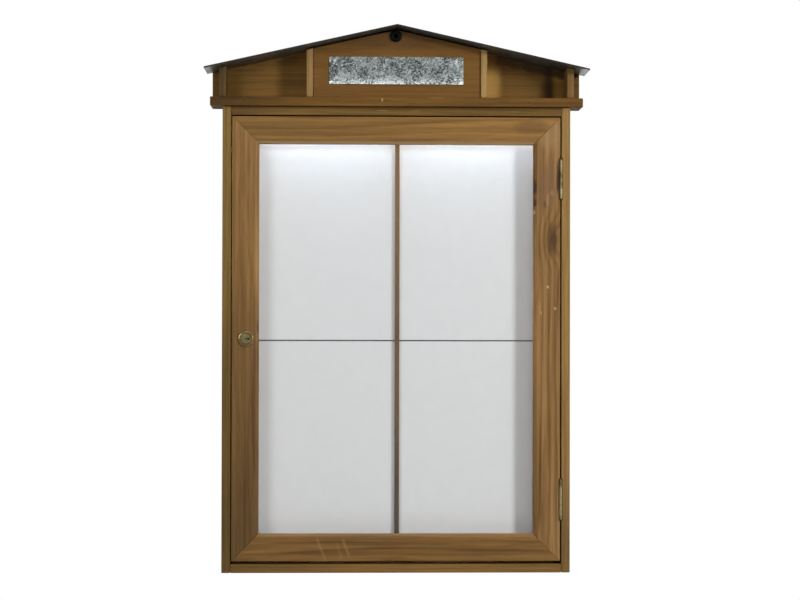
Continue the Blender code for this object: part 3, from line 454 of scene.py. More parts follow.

# %% [markdown]
# Where a board differs from the rest, it is said here. The right stile has the liveliest figure, with pale
# flecks where a plane tore the grain and a dark knot beside the upper hinge. Shades are places along a
# board with a factor. The case's sides and the left stile darken towards the bottom, partly in their own
# tone and partly as painted shade where the light falls off downwards. The centre divider is painted
# lighter at the top, under the light strip, and darker below, and the gable's back has a painted pool of
# light beside the right fin and painted light in the corner at its right end. The other shades make a board
# lighter or darker along its length. A mark lies on a face, and reaches some way sideways, into the wood and
# upwards. Some marks are painted shadows and painted light.

# %% Marks
FRONT = -0.044
STAIN_AND_SHADE, BRUISE, CHIP, PINK, BARE = (52, 38, 24), (84, 60, 38), (206, 174, 126), (128, 96, 66), (176, 142, 98)
SHADOW, SUNLIT, SCRATCHED = (44, 30, 15), (196, 158, 92), (188, 154, 96)
WHOLE_BOARD = 1.5
ROOF_PITCH = math.radians(12.7)
SCRATCH_WIDTH, SCRATCH_STEP = 0.0030, 0.0036
SHADOW_TOP = 0.4655  # where the shadow under the roof would meet the middle
SHADOW_REACH = (0.0240, 0.0130)


def marks_on(y, rows, depth=0.02):
    """Marks on a face, from rows of x, z, reach sideways and upwards, tone and strength."""
    return [((x, y, z), (wide, depth, tall), tone, strength) for x, z, wide, tall, tone, strength in rows]


def scratch(x, z, end_x, end_z, strength, dabs=7):
    """Rows for a thin mark that slants from one point to another."""
    for dab in range(dabs):
        way = dab / (dabs - 1)
        place = x + (end_x - x) * way, z + (end_z - z) * way
        yield *place, SCRATCH_WIDTH, SCRATCH_STEP, SCRATCHED, strength


def under_roof(x, strength):
    """A row for a painted soft shadow, some way below the slope of the roof."""
    return x, SHADOW_TOP - abs(x) * math.tan(ROOF_PITCH), *SHADOW_REACH, SHADOW, strength


# x, z, reach sideways and upwards, tone and strength
RIGHT_STILE_MARKS = marks_on(FRONT, (
    (0.2320, 0.3150, 0.0200, 0.0380, BARE, 0.45),
    (0.2270, 0.2300, 0.0180, 0.0480, PINK, 0.65),
    # painted shade: a dark line along the side of the upper hinge, as long as the hinge
    (0.2432, 0.2450, 0.0028, 0.0330, STAIN_AND_SHADE, 0.85),
    (0.2090, 0.2300, 0.0034, 0.0150, STAIN_AND_SHADE, 0.75),
    (0.2090, 0.2075, 0.0028, 0.0085, STAIN_AND_SHADE, 0.80),
    (0.2078, 0.1925, 0.0018, 0.0035, CHIP, 0.70),
    (0.2352, 0.1516, 0.0085, 0.0290, BRUISE, 0.70),
    (0.2235, 0.2050, 0.0020, 0.0065, BRUISE, 0.60),
    (0.2280, 0.2120, 0.0030, 0.0120, CHIP, 0.22),
    (0.2345, 0.2220, 0.0040, 0.0060, CHIP, 0.16),
    (0.2281, 0.0799, 0.0028, 0.0028, CHIP, 0.75),
    (0.2394, 0.0474, 0.0028, 0.0028, CHIP, 0.65),
    (0.2184, 0.0412, 0.0014, 0.0030, CHIP, 0.50),
))
TOP_BOARD_MARKS_AND_SHADOW = marks_on(FRONT, (
    # painted shadow: a dark band along the top of the case's top board, under the cornice
    (0.0, 0.3502, WHOLE_BOARD, 0.0045, (64, 44, 14), 0.55),
    (-0.0210, 0.3447, 0.0130, 0.0008, CHIP, 0.22),
    (0.0290, 0.3447, 0.0110, 0.0008, CHIP, 0.20),
    (0.1790, 0.3440, 0.0120, 0.0008, CHIP, 0.12),
))
CORNICE_MARKS = marks_on(-0.0505, (
    (0.0600, 0.3638, 0.0160, 0.0007, CHIP, 0.34),
    (-0.0222, 0.3600, 0.0016, 0.0042, CHIP, 0.60),
    (0.1610, 0.3580, 0.0110, 0.0042, BRUISE, 0.45),
))
LEFT_STILE_MARKS = marks_on(FRONT, (
    (-0.2083, 0.0190, 0.0020, 0.0120, STAIN_AND_SHADE, 0.60),
    (-0.2110, -0.0250, 0.0060, 0.0300, BRUISE, 0.40),
))
TOP_RAIL_MARKS_AND_LIGHT = marks_on(FRONT, (
    # a pale band along the moulding over the opening: worn bare wood, and partly painted light
    (0.0, 0.2957, WHOLE_BOARD, 0.0042, BARE, 0.80),
    (0.2040, 0.3220, 0.0340, 0.0160, (112, 82, 48), 0.55),
))
BOTTOM_RAIL_MARKS_AND_LIGHT = marks_on(FRONT, (
    # a pale band along the moulding under the opening: worn bare wood, and partly painted light from above
    (0.0, -0.2925, WHOLE_BOARD, 0.0042, BARE, 0.25),
    *scratch(-0.1179, -0.3010, -0.1067, -0.3290, 0.20),
    *scratch(-0.0888, -0.3080, -0.0821, -0.3270, 0.09),
    *scratch(-0.0794, -0.3020, -0.0709, -0.3235, 0.18),
))
# painted shadow: the sign panel darker at its top, under the ridge of the roof
PAINTED_SHADOW_ON_SIGN_PANEL = marks_on(FRONT, ((0.0, 0.4640, 0.1300, 0.0340, (78, 54, 26), 0.60),))
# painted shadows under the roof's slopes on the gable's back, and a painted pool of light beside the right
# fin
PAINTED_ROOF_SHADOWS_AND_LIGHT = marks_on(-0.010, (
    *(under_roof(x, 0.30) for x in (-0.255, -0.225, -0.195, -0.165)),
    under_roof(0.165, 0.60),
    *(under_roof(x, 0.75) for x in (0.190, 0.215, 0.240, 0.262)),
    (0.1480, 0.3950, 0.0140, 0.0340, SUNLIT, 0.62),
), depth=0.03)

# %% [markdown]
# A board's figure is how wide its rings are and how strongly rings, streaks, blotches and flecks show.

# %% Figures and shades
SHEET_BATTEN = {"shades": ((-0.28, 0.4), (0.26, 1.0))}
FIGURES = {
    # the sides darken towards the bottom: partly their own tone, partly painted shade as the light falls off
    "case_left_side": {"shades": ((-0.33, 0.68), (-0.10, 0.86), (0.10, 1.22))},
    "case_right_side": {"shades": ((-0.33, 0.60), (-0.18, 0.93), (0.10, 1.0))},
    "case_top_board": {"shades": ((-0.25, 0.68), (-0.15, 0.98)), "marks": TOP_BOARD_MARKS_AND_SHADOW},
    "case_bottom_board": {"shades": ((-0.25, 0.8), (0.05, 1.1))},
    # painted light: the divider lighter at the top under the light strip, darker towards the bottom
    "centre_divider": {"shades": ((-0.28, 0.24), (0.0, 0.72), (0.26, 1.12))},
    "left_sheet_batten": SHEET_BATTEN,
    "right_sheet_batten": SHEET_BATTEN,
    "cornice_board": {
        "blotches": 0.5, "ring_width": 0.005, "streaks": 0.3, "marks": CORNICE_MARKS,
        "shades": ((-0.27, 0.55), (-0.05, 1.25), (0.2, 0.88)),
    },
    "pediment_back": {
        "blotches": 0.5, "streaks": 0.3, "marks": PAINTED_ROOF_SHADOWS_AND_LIGHT,
        # a painted pool of light beside the right fin, a dark place further out, painted light in the corner
        # at the end
        "shades": (
            (0.10, 1.0), (0.142, 2.3), (0.168, 0.82), (0.222, 0.72), (0.2345, 0.28), (0.247, 1.5),
            (0.262, 0.85),
        ),
    },
    "door_left_stile": {
        "rings": 0.3, "ring_width": 0.006, "marks": LEFT_STILE_MARKS,
        # darker towards the bottom: partly its own tone, partly painted shade as the light falls off
        "shades": ((-0.30, 0.58), (0.0, 0.92), (0.12, 1.28)),
    },
    "door_right_stile": {
        "rings": 0.45, "ring_width": 0.008, "blotches": 0.5, "streaks": 0.35, "flecks": 0.3,
        "knot": (0.2372, FRONT, 0.1516), "knot_radius": 0.0062, "marks": RIGHT_STILE_MARKS,
    },
    "door_bottom_rail": {"rings": 0.5, "ring_width": 0.006, "marks": BOTTOM_RAIL_MARKS_AND_LIGHT},
    "door_top_rail": {
        "rings": 0.5, "ring_width": 0.007, "marks": TOP_RAIL_MARKS_AND_LIGHT, "shades": ((-0.22, 0.84), (0.22, 1.18)),
    },
    "sign_panel": {
        "ring_width": 0.007, "streaks": 0.28, "rings": 0.25, "marks": PAINTED_SHADOW_ON_SIGN_PANEL,
        "shades": ((-0.10, 0.88), (0.05, 1.0)),
    },
}


def dress(names, material):
    """Give solids of the frame their finish."""
    for name in names.split():
        nodes[name].material_slots[0].material = material


for board, tones in BOARDS.items():
    dress(board, stained_wood(board, *tones, **FIGURES.get(board, {})))
print(len(BOARDS), "boards, each with its own grain")

# %% [markdown]
# ## Eased edges
# Sandpaper takes the knife edges off a planed board, and the thin line of light along such an edge tells
# the eye that the board is real. The solids have sharp edges. A shader could fake the rounding, but the
# edge would stay sharp in outline. So a merged copy of each board gets a small Bevel modifier and stands
# for the solid. It keeps its place and its finish.

# %% Copies with eased edges
WOOD_EASE = 0.0004
MERGE_WITHIN = 0.000002
FLAT_ANGLE = math.radians(1)
SHARP_ANGLE = math.radians(35)


def add_piece(name, mesh, body, material=None, replaced=()):
    """A finished piece: its object at the origin, riding on a body."""
    piece = new_object(name, mesh)
    if material:
        mesh.materials.clear()
        mesh.materials.append(material)
    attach(piece, body)
    if replaced:
        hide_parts(*replaced)
    return piece


def open_copy(node):
    """A copy of a solid's mesh, and the same open for work, with its shared corners merged."""
    mesh = nodes[node].data.copy()
    work = bmesh.new()
    work.from_mesh(mesh)
    bmesh.ops.remove_doubles(work, verts=work.verts, dist=MERGE_WITHIN)
    return mesh, work


def close(work, mesh):
    work.to_mesh(mesh)
    work.free()
    return mesh


def ease(node, width=WOOD_EASE):
    """A merged copy of a solid, with its edges eased, which stands for the solid."""
    mesh, work = open_copy(node)
    bmesh.ops.dissolve_limit(work, angle_limit=FLAT_ANGLE, verts=work.verts, edges=work.edges)
    piece = add_piece(node + "_eased", close(work, mesh), nodes[node]["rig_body"], replaced=(node,))
    easing = piece.modifiers.new("eased edges", "BEVEL")
    easing.width = width
    easing.segments = 2
    easing.limit_method = "ANGLE"
    easing.angle_limit = SHARP_ANGLE
    return piece


for board in BOARDS:
    slot = "case_wood"
    if board.startswith(("door", "glazing")):
        slot = "door_wood"
    elif board.startswith(("pediment", "cornice", "sign", "left_fin", "right_fin")):
        slot = "gable_wood"
    elif board == "back_panel":
        slot = "plywood"
    ease(board)
print(len(BOARDS), "boards eased by", WOOD_EASE * 1000, "mm")


# %% [markdown]
# ## Metal that has been handled
# Brass, zinc-plated steel and rolled sheet start bright and even. Hands and weather leave dull clouds and
# small dark spots on them, and they keep fine lines from being drawn or polished. One group makes all three
# from noise, and each metal gives it two colours, a polish and a direction.

# %% Tarnish group
LINE_SQUEEZE = -0.985
LINE_ROUGHNESS = 0.16
LINE_SCALE, SPOT_SCALE = 2600.0, 1100.0


def make_tarnish():
    tree, given, result = new_group("tarnished_metal", {
        "Vector": (0, 0, 0), "Drawn Along": (1, 0, 0), "Clean": WHITE, "Dull": BLACK, "Tarnish": 0.5,
        "Cloud Scale": 60.0, "Polish": 0.2, "Dullness": 0.45, "Seed": 0.0,
    }, SURFACE)
    drawn = given["Drawn Along"]
    place = shifted(given["Vector"], given["Seed"])
    lines = noise(place + drawn * (calc("DOT_PRODUCT", place, drawn) * LINE_SQUEEZE), LINE_SCALE)
    clouds = ramp(noise(place, given["Cloud Scale"], 4.0, 0.6), 0.36, 0.66)
    spots = ramp(noise(place, SPOT_SCALE, 1.0), 0.66, 0.74)
    dull = calc("MULTIPLY", clouds + spots, given["Tarnish"], clamp=True)
    rough = given["Polish"] + (given["Dullness"] - given["Polish"]) * dull
    rough = calc("ADD", rough, (lines - 0.5) * LINE_ROUGHNESS, clamp=True)
    shade = blend(dull, given["Clean"], given["Dull"])
    fill(result, {"Color": shade, "Roughness": rough, "Height": lines + spots * -1.0})
    return tree


TARNISH = make_tarnish()
METAL_WEAR = {"Radius": 0.0004, "Patch Scale": 400.0}
BRIGHTER = 1.12


def metal(name, clean, dull, wear=0.6, bump=0.00004, bare=1.0, **figure):
    """A metal, bare or with a share of patina. The figure sets the tarnish group's other inputs,
    with _ for a space."""
    material, tree, shader = new_material(name)
    inputs = {"Vector": object_place(tree), "Clean": colour(*clean), "Dull": colour(*dull)}
    worn = use_group(tree, TARNISH, {**inputs, **input_names(figure)})
    edge = use_group(tree, EDGE_WEAR_AND_HIGHLIGHT, {**METAL_WEAR, "Amount": wear})
    bright = colour(*(min(255, value * BRIGHTER) for value in clean))
    shade = blend(edge["Mask"], worn["Color"], bright)
    finish(shader, shade, worn["Roughness"], relief(tree, worn["Height"], bump, 0.4), {"Metallic": bare})
    return material


def lay_over(material, share, tone):
    """Lay a tone over a metal's own colour by a mask: painted reflection, painted shade, dark hollows."""
    shader = material.node_tree.nodes["Principled BSDF"]
    own = Value(shader.inputs["Base Color"].links[0].from_socket)
    fill(shader, {"Base Color": blend(share, own, colour(*tone))})
    return shader


BRASS = metal("worn_brass", (218, 188, 126), (104, 86, 50), polish=0.2, dullness=0.42, tarnish=0.7)
PLUG_BRASS = metal("rubbed_brass", (182, 168, 120), (118, 106, 68), polish=0.42, dullness=0.6, tarnish=0.8)
BRAD_STEEL = metal("dull_brads", (122, 108, 82), (70, 58, 38), polish=0.45, dullness=0.7, tarnish=1.0)
HINGE_BRASS = metal(
    "dull_hinge_brass", (184, 172, 130), (108, 98, 68), polish=0.5, dullness=0.72, tarnish=1.0, wear=0.15,
)
STEEL = metal("zinc_plated_steel", (196, 196, 190), (128, 126, 118), polish=0.24, dullness=0.5)
CHANNEL = metal("satin_aluminium", (214, 216, 216), (176, 178, 178), polish=0.3, dullness=0.42, tarnish=0.3)
ROOF = metal(
    "weathered_roof_sheet", (132, 133, 127), (88, 87, 81), polish=0.34, dullness=0.5,
    cloud_scale=22.0, tarnish=0.8, bare=0.7, bump=0.00002, wear=0.25,
)

# %% [markdown]
# The roof's underside gets a painted reflection of the pale room at its eaves, and its cut front edge, with
# the underside just behind it, gets painted shade. Both are laid over the sheet's own colour, each with a
# mask from the place on the sheet.

# %% Roof sheet
CUT_EDGE = (0.0006, 0.0018)  # behind the front
UNDERSIDE = (0.0019, 0.0012)  # below the top surface
EAVES = (0.268, 0.277)  # from the middle
PAINTED_EAVES_REFLECTION, PAINTED_EDGE_SHADE = (206, 208, 198), (44, 42, 38)

roof_low, roof_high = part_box("roof_sheet")
roof_place = object_place(ROOF.node_tree)
sideways = calc("ABSOLUTE", part(roof_place, "X"))
level = part(roof_place, "Z") + sideways * math.tan(ROOF_PITCH)
underside = ramp(level, roof_high.z - UNDERSIDE[0], roof_high.z - UNDERSIDE[1], 1.0, 0.0)
cut_edge_shade = ramp(part(roof_place, "Y"), roof_low.y + CUT_EDGE[0], roof_low.y + CUT_EDGE[1], 0.8, 0.0)
# painted reflection: the underside at the eaves lighter, as it mirrors the pale room
lay_over(ROOF, ramp(sideways, *EAVES, 0.0, 0.45) * underside, PAINTED_EAVES_REFLECTION)
# painted shade: the cut front edge and the underside just behind it darker
lay_over(ROOF, cut_edge_shade, PAINTED_EDGE_SHADE)


# %% [markdown]
# ## Galvanised sheet
# Zinc that cools on a steel sheet grows crystals, the spangle, and each of them throws the light its own
# way. Noise would give soft clouds, but crystals have clear borders. So a Voronoi texture gives every
# crystal a number, which sets its tone and roughness and turns the fine feathering inside it. The bare
# plate on the gable and the two hanger plates are such sheet. A thin plate is never quite flat: its pins
# pull small dents into it, and its lower edge comes forward a little. Both tilt it towards the light, and
# that shows as bright places.

# %% Spangle
SPANGLE_SCALE = 560.0
SPANGLE_BUMP = 0.00002
ZINC, PAINTED_EDGE_HIGHLIGHT = colour(222, 230, 228), colour(246, 246, 240)
ZINC_EDGE_HIGHLIGHT = {"Radius": 0.0005, "Amount": 0.8, "Patch Scale": 300.0}
ZINC_ROUGHNESS = (0.22, 0.30)  # how much a crystal adds, and the least
DENT_REACH = 0.0085
DENT_DEPTH = 0.0011
LIP_REACH = 0.017
LIP_RISE = 0.0025


def galvanised(name, dark, dents=(), lip=None):
    """Galvanised sheet, with dents about points and a lip that starts at a height."""
    material, tree, shader = new_material(name)
    place = object_place(tree)
    dished = 0.0
    for dent in dents:
        dished = calc("ADD", dished, ramp(calc("LENGTH", place - dent), 0.0, DENT_REACH, -DENT_DEPTH, 0.0))
    if lip is not None:
        bend = calc("POWER", ramp(part(place, "Z"), lip + LIP_REACH, lip, smooth=False), 2.0)
        dished = calc("ADD", dished, bend * LIP_RISE)
    warp = noise(place, SPANGLE_SCALE * 1.7, out="Color")
    bent = place + (warp - HALF) * (0.5 / SPANGLE_SCALE)
    flakes = add(tree, "ShaderNodeTexVoronoi", {"Vector": bent, "Scale": SPANGLE_SCALE})["Color"]
    split = add(tree, "ShaderNodeSeparateColor", {"Color": flakes})
    spin = {"Vector": place, "Axis": (0, 1, 0), "Angle": split["Green"] * math.pi}
    feather_place = add(tree, "ShaderNodeVectorRotate", spin)[0] * (1.0, 1.0, 0.12)
    feathers = noise(feather_place, SPANGLE_SCALE * 5)
    clouds = ramp(noise(place, 45.0, 3.0), 0.34, 0.68)
    tone = ramp(split["Red"] + feathers * 0.5 + clouds * 0.5, 0.25, 1.5)
    height = calc("ADD", tone * SPANGLE_BUMP, dished)
    # The edges are painted bright: a painted highlight where the cut edges catch the light.
    edge = use_group(tree, EDGE_WEAR_AND_HIGHLIGHT, ZINC_EDGE_HIGHLIGHT)
    shade = blend(edge["Mask"], blend(tone, colour(*dark), ZINC), PAINTED_EDGE_HIGHLIGHT)
    rough = split["Blue"] * ZINC_ROUGHNESS[0] + ZINC_ROUGHNESS[1]
    finish(shader, shade, rough, relief(tree, height, 1.0, 1.0), {"Metallic": 1.0})
    return material


CORNERS = [f"{height}_{side}" for height in ("upper", "lower") for side in ("left", "right")]
PLATE_PINS = " ".join(corner + "_plate_pin" for corner in CORNERS)

plate_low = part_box("sign_plate")[0]
pin_places = []
for name in PLATE_PINS.split():
    pin_low, pin_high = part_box(name)
    pin_places.append(((pin_low.x + pin_high.x) / 2, plate_low.y, (pin_low.z + pin_high.z) / 2))
PLATE = galvanised("galvanised_plate", (62, 74, 74), pin_places, plate_low.z)
HANGER = galvanised("galvanised_hanger", (92, 102, 102))
print("dents about", len(pin_places), "pins")


# %% [markdown]
# ## Paper, board, rubber and plastic
# These are matt, and each has its own small unevenness. Paper has a faint cloudiness where its fibres lie
# thicker, the board behind it a fine grit, and rubber and plastic a bloom of dust. One short function makes
# them all from two tones, a noise scale and a bump.

# %% Matt finishes
def matt(name, pale, dark, scale, roughness, bump, specular=0.3):
    material, tree, shader = new_material(name)
    place = object_place(tree)
    fibres = noise(place, scale * 14, 3.0, 0.6)
    mixed = noise(place, scale, 4.0, 0.6) * 0.6 + fibres * 0.4
    shade = blend(ramp(mixed, 0.34, 0.66), colour(*dark), colour(*pale))
    rough = ramp(mixed, 0.3, 0.7, roughness + 0.06, roughness - 0.06, False)
    finish(shader, shade, rough, relief(tree, fibres, bump, 0.5), {"Specular IOR Level": specular})
    return material, tree, shader


PAPER = matt("uncoated_paper", (238, 239, 240), (235, 236, 237), 60.0, 0.82, 0.00001)[0]
# The board is dark, partly as painted shade, so that the thin gap between the sheets shows dark.
GREY_BOARD = matt("grey_board", (66, 66, 64), (54, 54, 53), 120.0, 0.85, 0.00006)[0]
RUBBER = matt("black_rubber", (9, 9, 8), (4, 4, 4), 300.0, 0.6, 0.00004, 0.12)[0]
PLASTIC = matt("black_plastic", (44, 44, 45), (28, 28, 29), 500.0, 0.48, 0.00003, 0.45)[0]
STRIP = matt("white_light_strip", (226, 228, 226), (212, 214, 212), 200.0, 0.5, 0.00003)[0]

# %% [markdown]
# Now the solids that aren't boards get their finish, all but the light's cover and the pane, which follow
# below. Turned and stamped metal is eased too, by less, and its round faces are shaded smooth. The sharp
# edges between them stay sharp, because the mesh marks every edge over a given angle.

# %% Finishes on the solids
METAL_EASE = 0.00012
LEAVES_AND_PINS = " ".join(
    f"{place}_hinge_{piece}" for place in ("upper", "lower") for piece in ("case_leaf", "door_leaf", "pin")
)

dress("lock_body lock_plug", BRASS)
dress("roof_sheet", ROOF)
dress(" ".join(corner + "_sheet" for corner in CORNERS), PAPER)
dress("display_board", GREY_BOARD)
dress("apex_grommet light_lead", RUBBER)
dress("light_strip", STRIP)
eased = 0
for slot, material, names in (
    ("brass", HINGE_BRASS, LEAVES_AND_PINS),
    ("brass", BRASS, "lock_nut"),
    ("steel", STEEL, "lock_cam cam_screw lock_keeper upper_keeper_screw lower_keeper_screw"),
    ("steel", STEEL, PLATE_PINS),
    ("galvanised", PLATE, "sign_plate"),
    ("galvanised", HANGER, "left_hanger_plate right_hanger_plate"),
    ("aluminium", CHANNEL, "light_channel"),
    ("black_plastic", PLASTIC, "light_driver"),
):
    dress(names, material)
    for name in names.split():
        mesh = ease(name, METAL_EASE).data
        mesh.shade_smooth()
        mesh.set_sharp_from_angle(angle=SHARP_ANGLE)
        eased += 1
print(eased, "metal and plastic pieces eased by", METAL_EASE * 1000, "mm")


# %% [markdown]
# ## The lock's face
# A cam lock shows a rounded brass rim and a flat plug in it. A plain solid gives them few sides, so both
# are turned again from finer profiles of the same size. A profile is a list of radii and heights. Each
# becomes a ring of points round the lock's axis, and neighbouring rings are joined.

# %% Turned pieces
TURNED_STEPS = 72


def turned(name, profile, centre, steps=TURNED_STEPS):
    """A closed mesh of (radius, height) rings about an axis that comes out of the front."""
    work = bmesh.new()
    rings = []
    for radius, height in profile:
        ring = []
        for step in range(steps if radius else 1):
            angle = 2 * math.pi * step / steps
            offset = Vector((radius * math.cos(angle), -height, radius * math.sin(angle)))
            ring.append(work.verts.new(centre + offset))
        rings.append(ring)
    pairs = list(zip(rings, rings[1:]))
    if len(rings[0]) > 1:
        pairs.append((rings[-1], rings[0]))
    for inner, outer in pairs:
        for step in range(steps):
            after = (step + 1) % steps
            corners = [inner[step % len(inner)], inner[after % len(inner)]]
            corners += [outer[after % len(outer)], outer[step % len(outer)]]
            face = list(dict.fromkeys(corners))
            if len(face) > 2:
                work.faces.new(face)
    bmesh.ops.recalc_face_normals(work, faces=work.faces)
    mesh = close(work, bpy.data.meshes.new(name))
    mesh.shade_smooth()
    mesh.set_sharp_from_angle(angle=SHARP_ANGLE)
    return mesh


def quarter(middle, radii, start, end, steps=8):
    """Points on part of an ellipse, from one angle to another, in degrees."""
    angles = [math.radians(start + (end - start) * step / steps) for step in range(steps + 1)]
    return [(middle[0] + radii[0] * math.cos(turn), middle[1] + radii[1] * math.sin(turn)) for turn in angles]


body_low, body_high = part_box("lock_body")
plug_low, plug_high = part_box("lock_plug")
LOCK_CENTRE = (body_low + body_high) / 2
LOCK_CENTRE.y = FRONT
RIM_RADIUS = (body_high.x - body_low.x) / 2
RIM_FRONT = FRONT - body_low.y
PLUG_RADIUS = (plug_high.x - plug_low.x) / 2
PLUG_FRONT = FRONT - plug_low.y
print("rim", RIM_RADIUS, "by", RIM_FRONT, "plug", PLUG_RADIUS, "by", PLUG_FRONT)

# %% [markdown]
# The groove round the plug, and all that lies further in than the plug's face, are made dark and no metal.

# %% Dark hollows
DARK_HOLLOW_TONE = (34, 25, 10)
GROOVE_RADIUS = 0.0081
SOFT_EDGE = (0.0003, 0.0009)


def darken_hollows(material, in_the_keyhole):
    offset = object_place(material.node_tree) - tuple(LOCK_CENTRE)
    radius = calc("LENGTH", offset * (1, 0, 1))
    hollow_mask = ramp(calc("ABSOLUTE", radius - GROOVE_RADIUS), *SOFT_EDGE, 0.8, 0.0)
    if in_the_keyhole:
        deep = ramp(part(offset, "Y"), *(edge - PLUG_FRONT for edge in SOFT_EDGE))
        hollow_mask = calc("MAXIMUM", hollow_mask, deep)
    fill(lay_over(material, hollow_mask, DARK_HOLLOW_TONE), {"Metallic": 1.0 - hollow_mask})


darken_hollows(BRASS, False)
darken_hollows(PLUG_BRASS, True)

# %% [markdown]
# The rim rises behind a rounded edge, falls into a rounded mouth and has a shelf inside, on which the plug
# rests. The plug's face has a shallow groove. Boxes cut its slot and its keyhole.

# %% Rim and plug
BEHIND_FACE = 0.0003
RIM_ROUND = 0.0015
MOUTH_ROUND = (0.0009, 0.0005)
SHELF_DROP = 0.0017
BARREL_RADIUS = 0.0085
PLUG_BORE = 0.0058
PLUG_PLAY = 0.0001
PLUG_ROUND = 0.0004
FACE_GROOVE = ((0.0052, 0), (0.0054, 0.0002), (0.0058, 0.0002), (0.0060, 0))
KEY_SLOT = (Vector((-0.0014, -0.006, -0.0007)), Vector((0.0061, 0.0013, 0.0007)))
KEY_HOLE = (Vector((0.0034, -0.006, -0.0016)), Vector((0.0064, 0.0010, 0.0014)))

mouth = PLUG_RADIUS + PLUG_PLAY
shelf = RIM_FRONT - SHELF_DROP
barrel_end = FRONT - body_high.y
rim = [(BARREL_RADIUS, barrel_end), (BARREL_RADIUS, BEHIND_FACE), (RIM_RADIUS, BEHIND_FACE)]
rim += quarter((RIM_RADIUS - RIM_ROUND, RIM_FRONT - RIM_ROUND), (RIM_ROUND, RIM_ROUND), 0, 90)
rim += quarter((mouth + MOUTH_ROUND[0], RIM_FRONT - MOUTH_ROUND[1]), MOUTH_ROUND, 90, 180)
rim += [(mouth, shelf), (PLUG_BORE, shelf), (PLUG_BORE, barrel_end)]
add_piece("lock_rim", turned("lock_rim", rim, LOCK_CENTRE), "door", BRASS, ("lock_body",))

plug_end = FRONT - plug_high.y
plug_side = PLUG_BORE - PLUG_PLAY
plug_back = shelf + PLUG_PLAY
round_middle = (PLUG_RADIUS - PLUG_ROUND, PLUG_FRONT - PLUG_ROUND)
face = [(0, PLUG_FRONT), *((radius, PLUG_FRONT - depth) for radius, depth in FACE_GROOVE)]
face += [(PLUG_RADIUS - PLUG_ROUND, PLUG_FRONT), *quarter(round_middle, (PLUG_ROUND, PLUG_ROUND), 75, 0, 4)]
face += [(PLUG_RADIUS, plug_back), (plug_side, plug_back), (plug_side, plug_end), (0, plug_end)]


def plain_mesh(item):
    """An object's mesh as its modifiers leave it. The object itself goes."""
    bpy.context.view_layer.update()
    mesh = bpy.data.meshes.new_from_object(item.evaluated_get(bpy.context.evaluated_depsgraph_get()))
    bpy.data.objects.remove(item)
    return mesh


def cut_box(mesh, low, high):
    """The mesh with a box cut out of it."""
    low, high = Vector(low), Vector(high)
    work = bmesh.new()
    place = Matrix.Translation((high + low) / 2) @ Matrix.Diagonal((*(high - low), 1))
    bmesh.ops.create_cube(work, size=1, matrix=place)
    solid = new_object("solid", mesh)
    cutter = new_object("cutter", close(work, bpy.data.meshes.new("cutter")))
    cutting = solid.modifiers.new("cut", "BOOLEAN")
    cutting.object = cutter
    cutting.solver = "EXACT"
    result = plain_mesh(solid)
    bpy.data.objects.remove(cutter)
    return result


plug_mesh = turned("lock_plug_face", face, LOCK_CENTRE)
for corners in (KEY_SLOT, KEY_HOLE):
    plug_mesh = cut_box(plug_mesh, *(LOCK_CENTRE + corner for corner in corners))
add_piece("lock_plug_face", plug_mesh, "lock", PLUG_BRASS, ("lock_plug",))

# %% [markdown]
# ## The rubber ring under the ridge
# A black rubber ring lines the hole through which a cord can leave. It is a round bead with a bore. A torus
# would give the bead alone, so it is turned as the lock's rim was, which gives it its bore and its stem as
# well.

# %% Rubber ring
RING_BORE = 0.0022
STEM_RADIUS = 0.0065

ring_low, ring_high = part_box("apex_grommet")
ring_centre = (ring_low + ring_high) / 2
ring_centre.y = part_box("sign_panel")[0].y
ring_end = ring_centre.y - ring_high.y
bead_height = ring_centre.y - ring_low.y - BEHIND_FACE
bead_half = ((ring_high.x - ring_low.x) / 2 - RING_BORE) / 2
ring = quarter((RING_BORE + bead_half, BEHIND_FACE), (bead_half, bead_height), 0, 180, 20)
ring += [(RING_BORE, ring_end), (STEM_RADIUS, ring_end), (STEM_RADIUS, BEHIND_FACE)]
ring_mesh = turned("rubber_ring", ring, ring_centre)
add_piece("rubber_ring", ring_mesh, "case", RUBBER, ("apex_grommet",))

# %% [markdown]
# ## Screws and brads
# Countersunk screws hold the corners, the hinges, the hangers and the back, pan heads the roof, and brads
# the cornice and the glazing beads. Only their heads show. They could be placed one by one, but a list of
# places is shorter and easy to change. One head of each kind is turned, a screw's gets its cross recess,
# and Geometry Nodes put a copy on every point of the list. Each point carries the way its head faces, and a
# seeded random turn sets how the cross ends up, since no two screws are driven equally far.

# %% Heads
HEAD_STEPS = 32
CROSS_HALF = (0.56, 0.13)
ABOVE_HEAD = 0.5
HEADS = {
    # the profile of a head of radius 1, and the depth of its cross
    "countersunk": (
        ((0, 0.06), (0.5, 0.055), (0.85, 0.035), (0.97, 0.01), (1.0, -0.04), (0.45, -0.5), (0, -0.5)), 0.34,
    ),
    "pan": (
        ((0, 0.62), (0.4, 0.58), (0.72, 0.44), (0.93, 0.22), (1.0, 0.0), (1.0, -0.06), (0, -0.06)), 0.40,
    ),
    "brad": (((0, 0.10), (0.6, 0.09), (0.9, 0.05), (1.0, -0.02), (1.0, -0.3), (0, -0.3)), 0),
}

heads = {}
for name, (profile, recess) in HEADS.items():
    mesh = turned(name + "_head", profile, Vector((0, 0, 0)), HEAD_STEPS)
    top = profile[0][1]
    for x, z in (CROSS_HALF, CROSS_HALF[::-1]) if recess else ():
        mesh = cut_box(mesh, (-x, -top - ABOVE_HEAD, -z), (x, recess - top, z))
    heads[name] = new_object(name + "_head", mesh)
print({name: len(item.data.polygons) for name, item in heads.items()}, "faces on the heads")

# %% [markdown]
# The tree puts the head on each point, turns it by chance about its own axis, makes the copies real and
# gives them their finish.

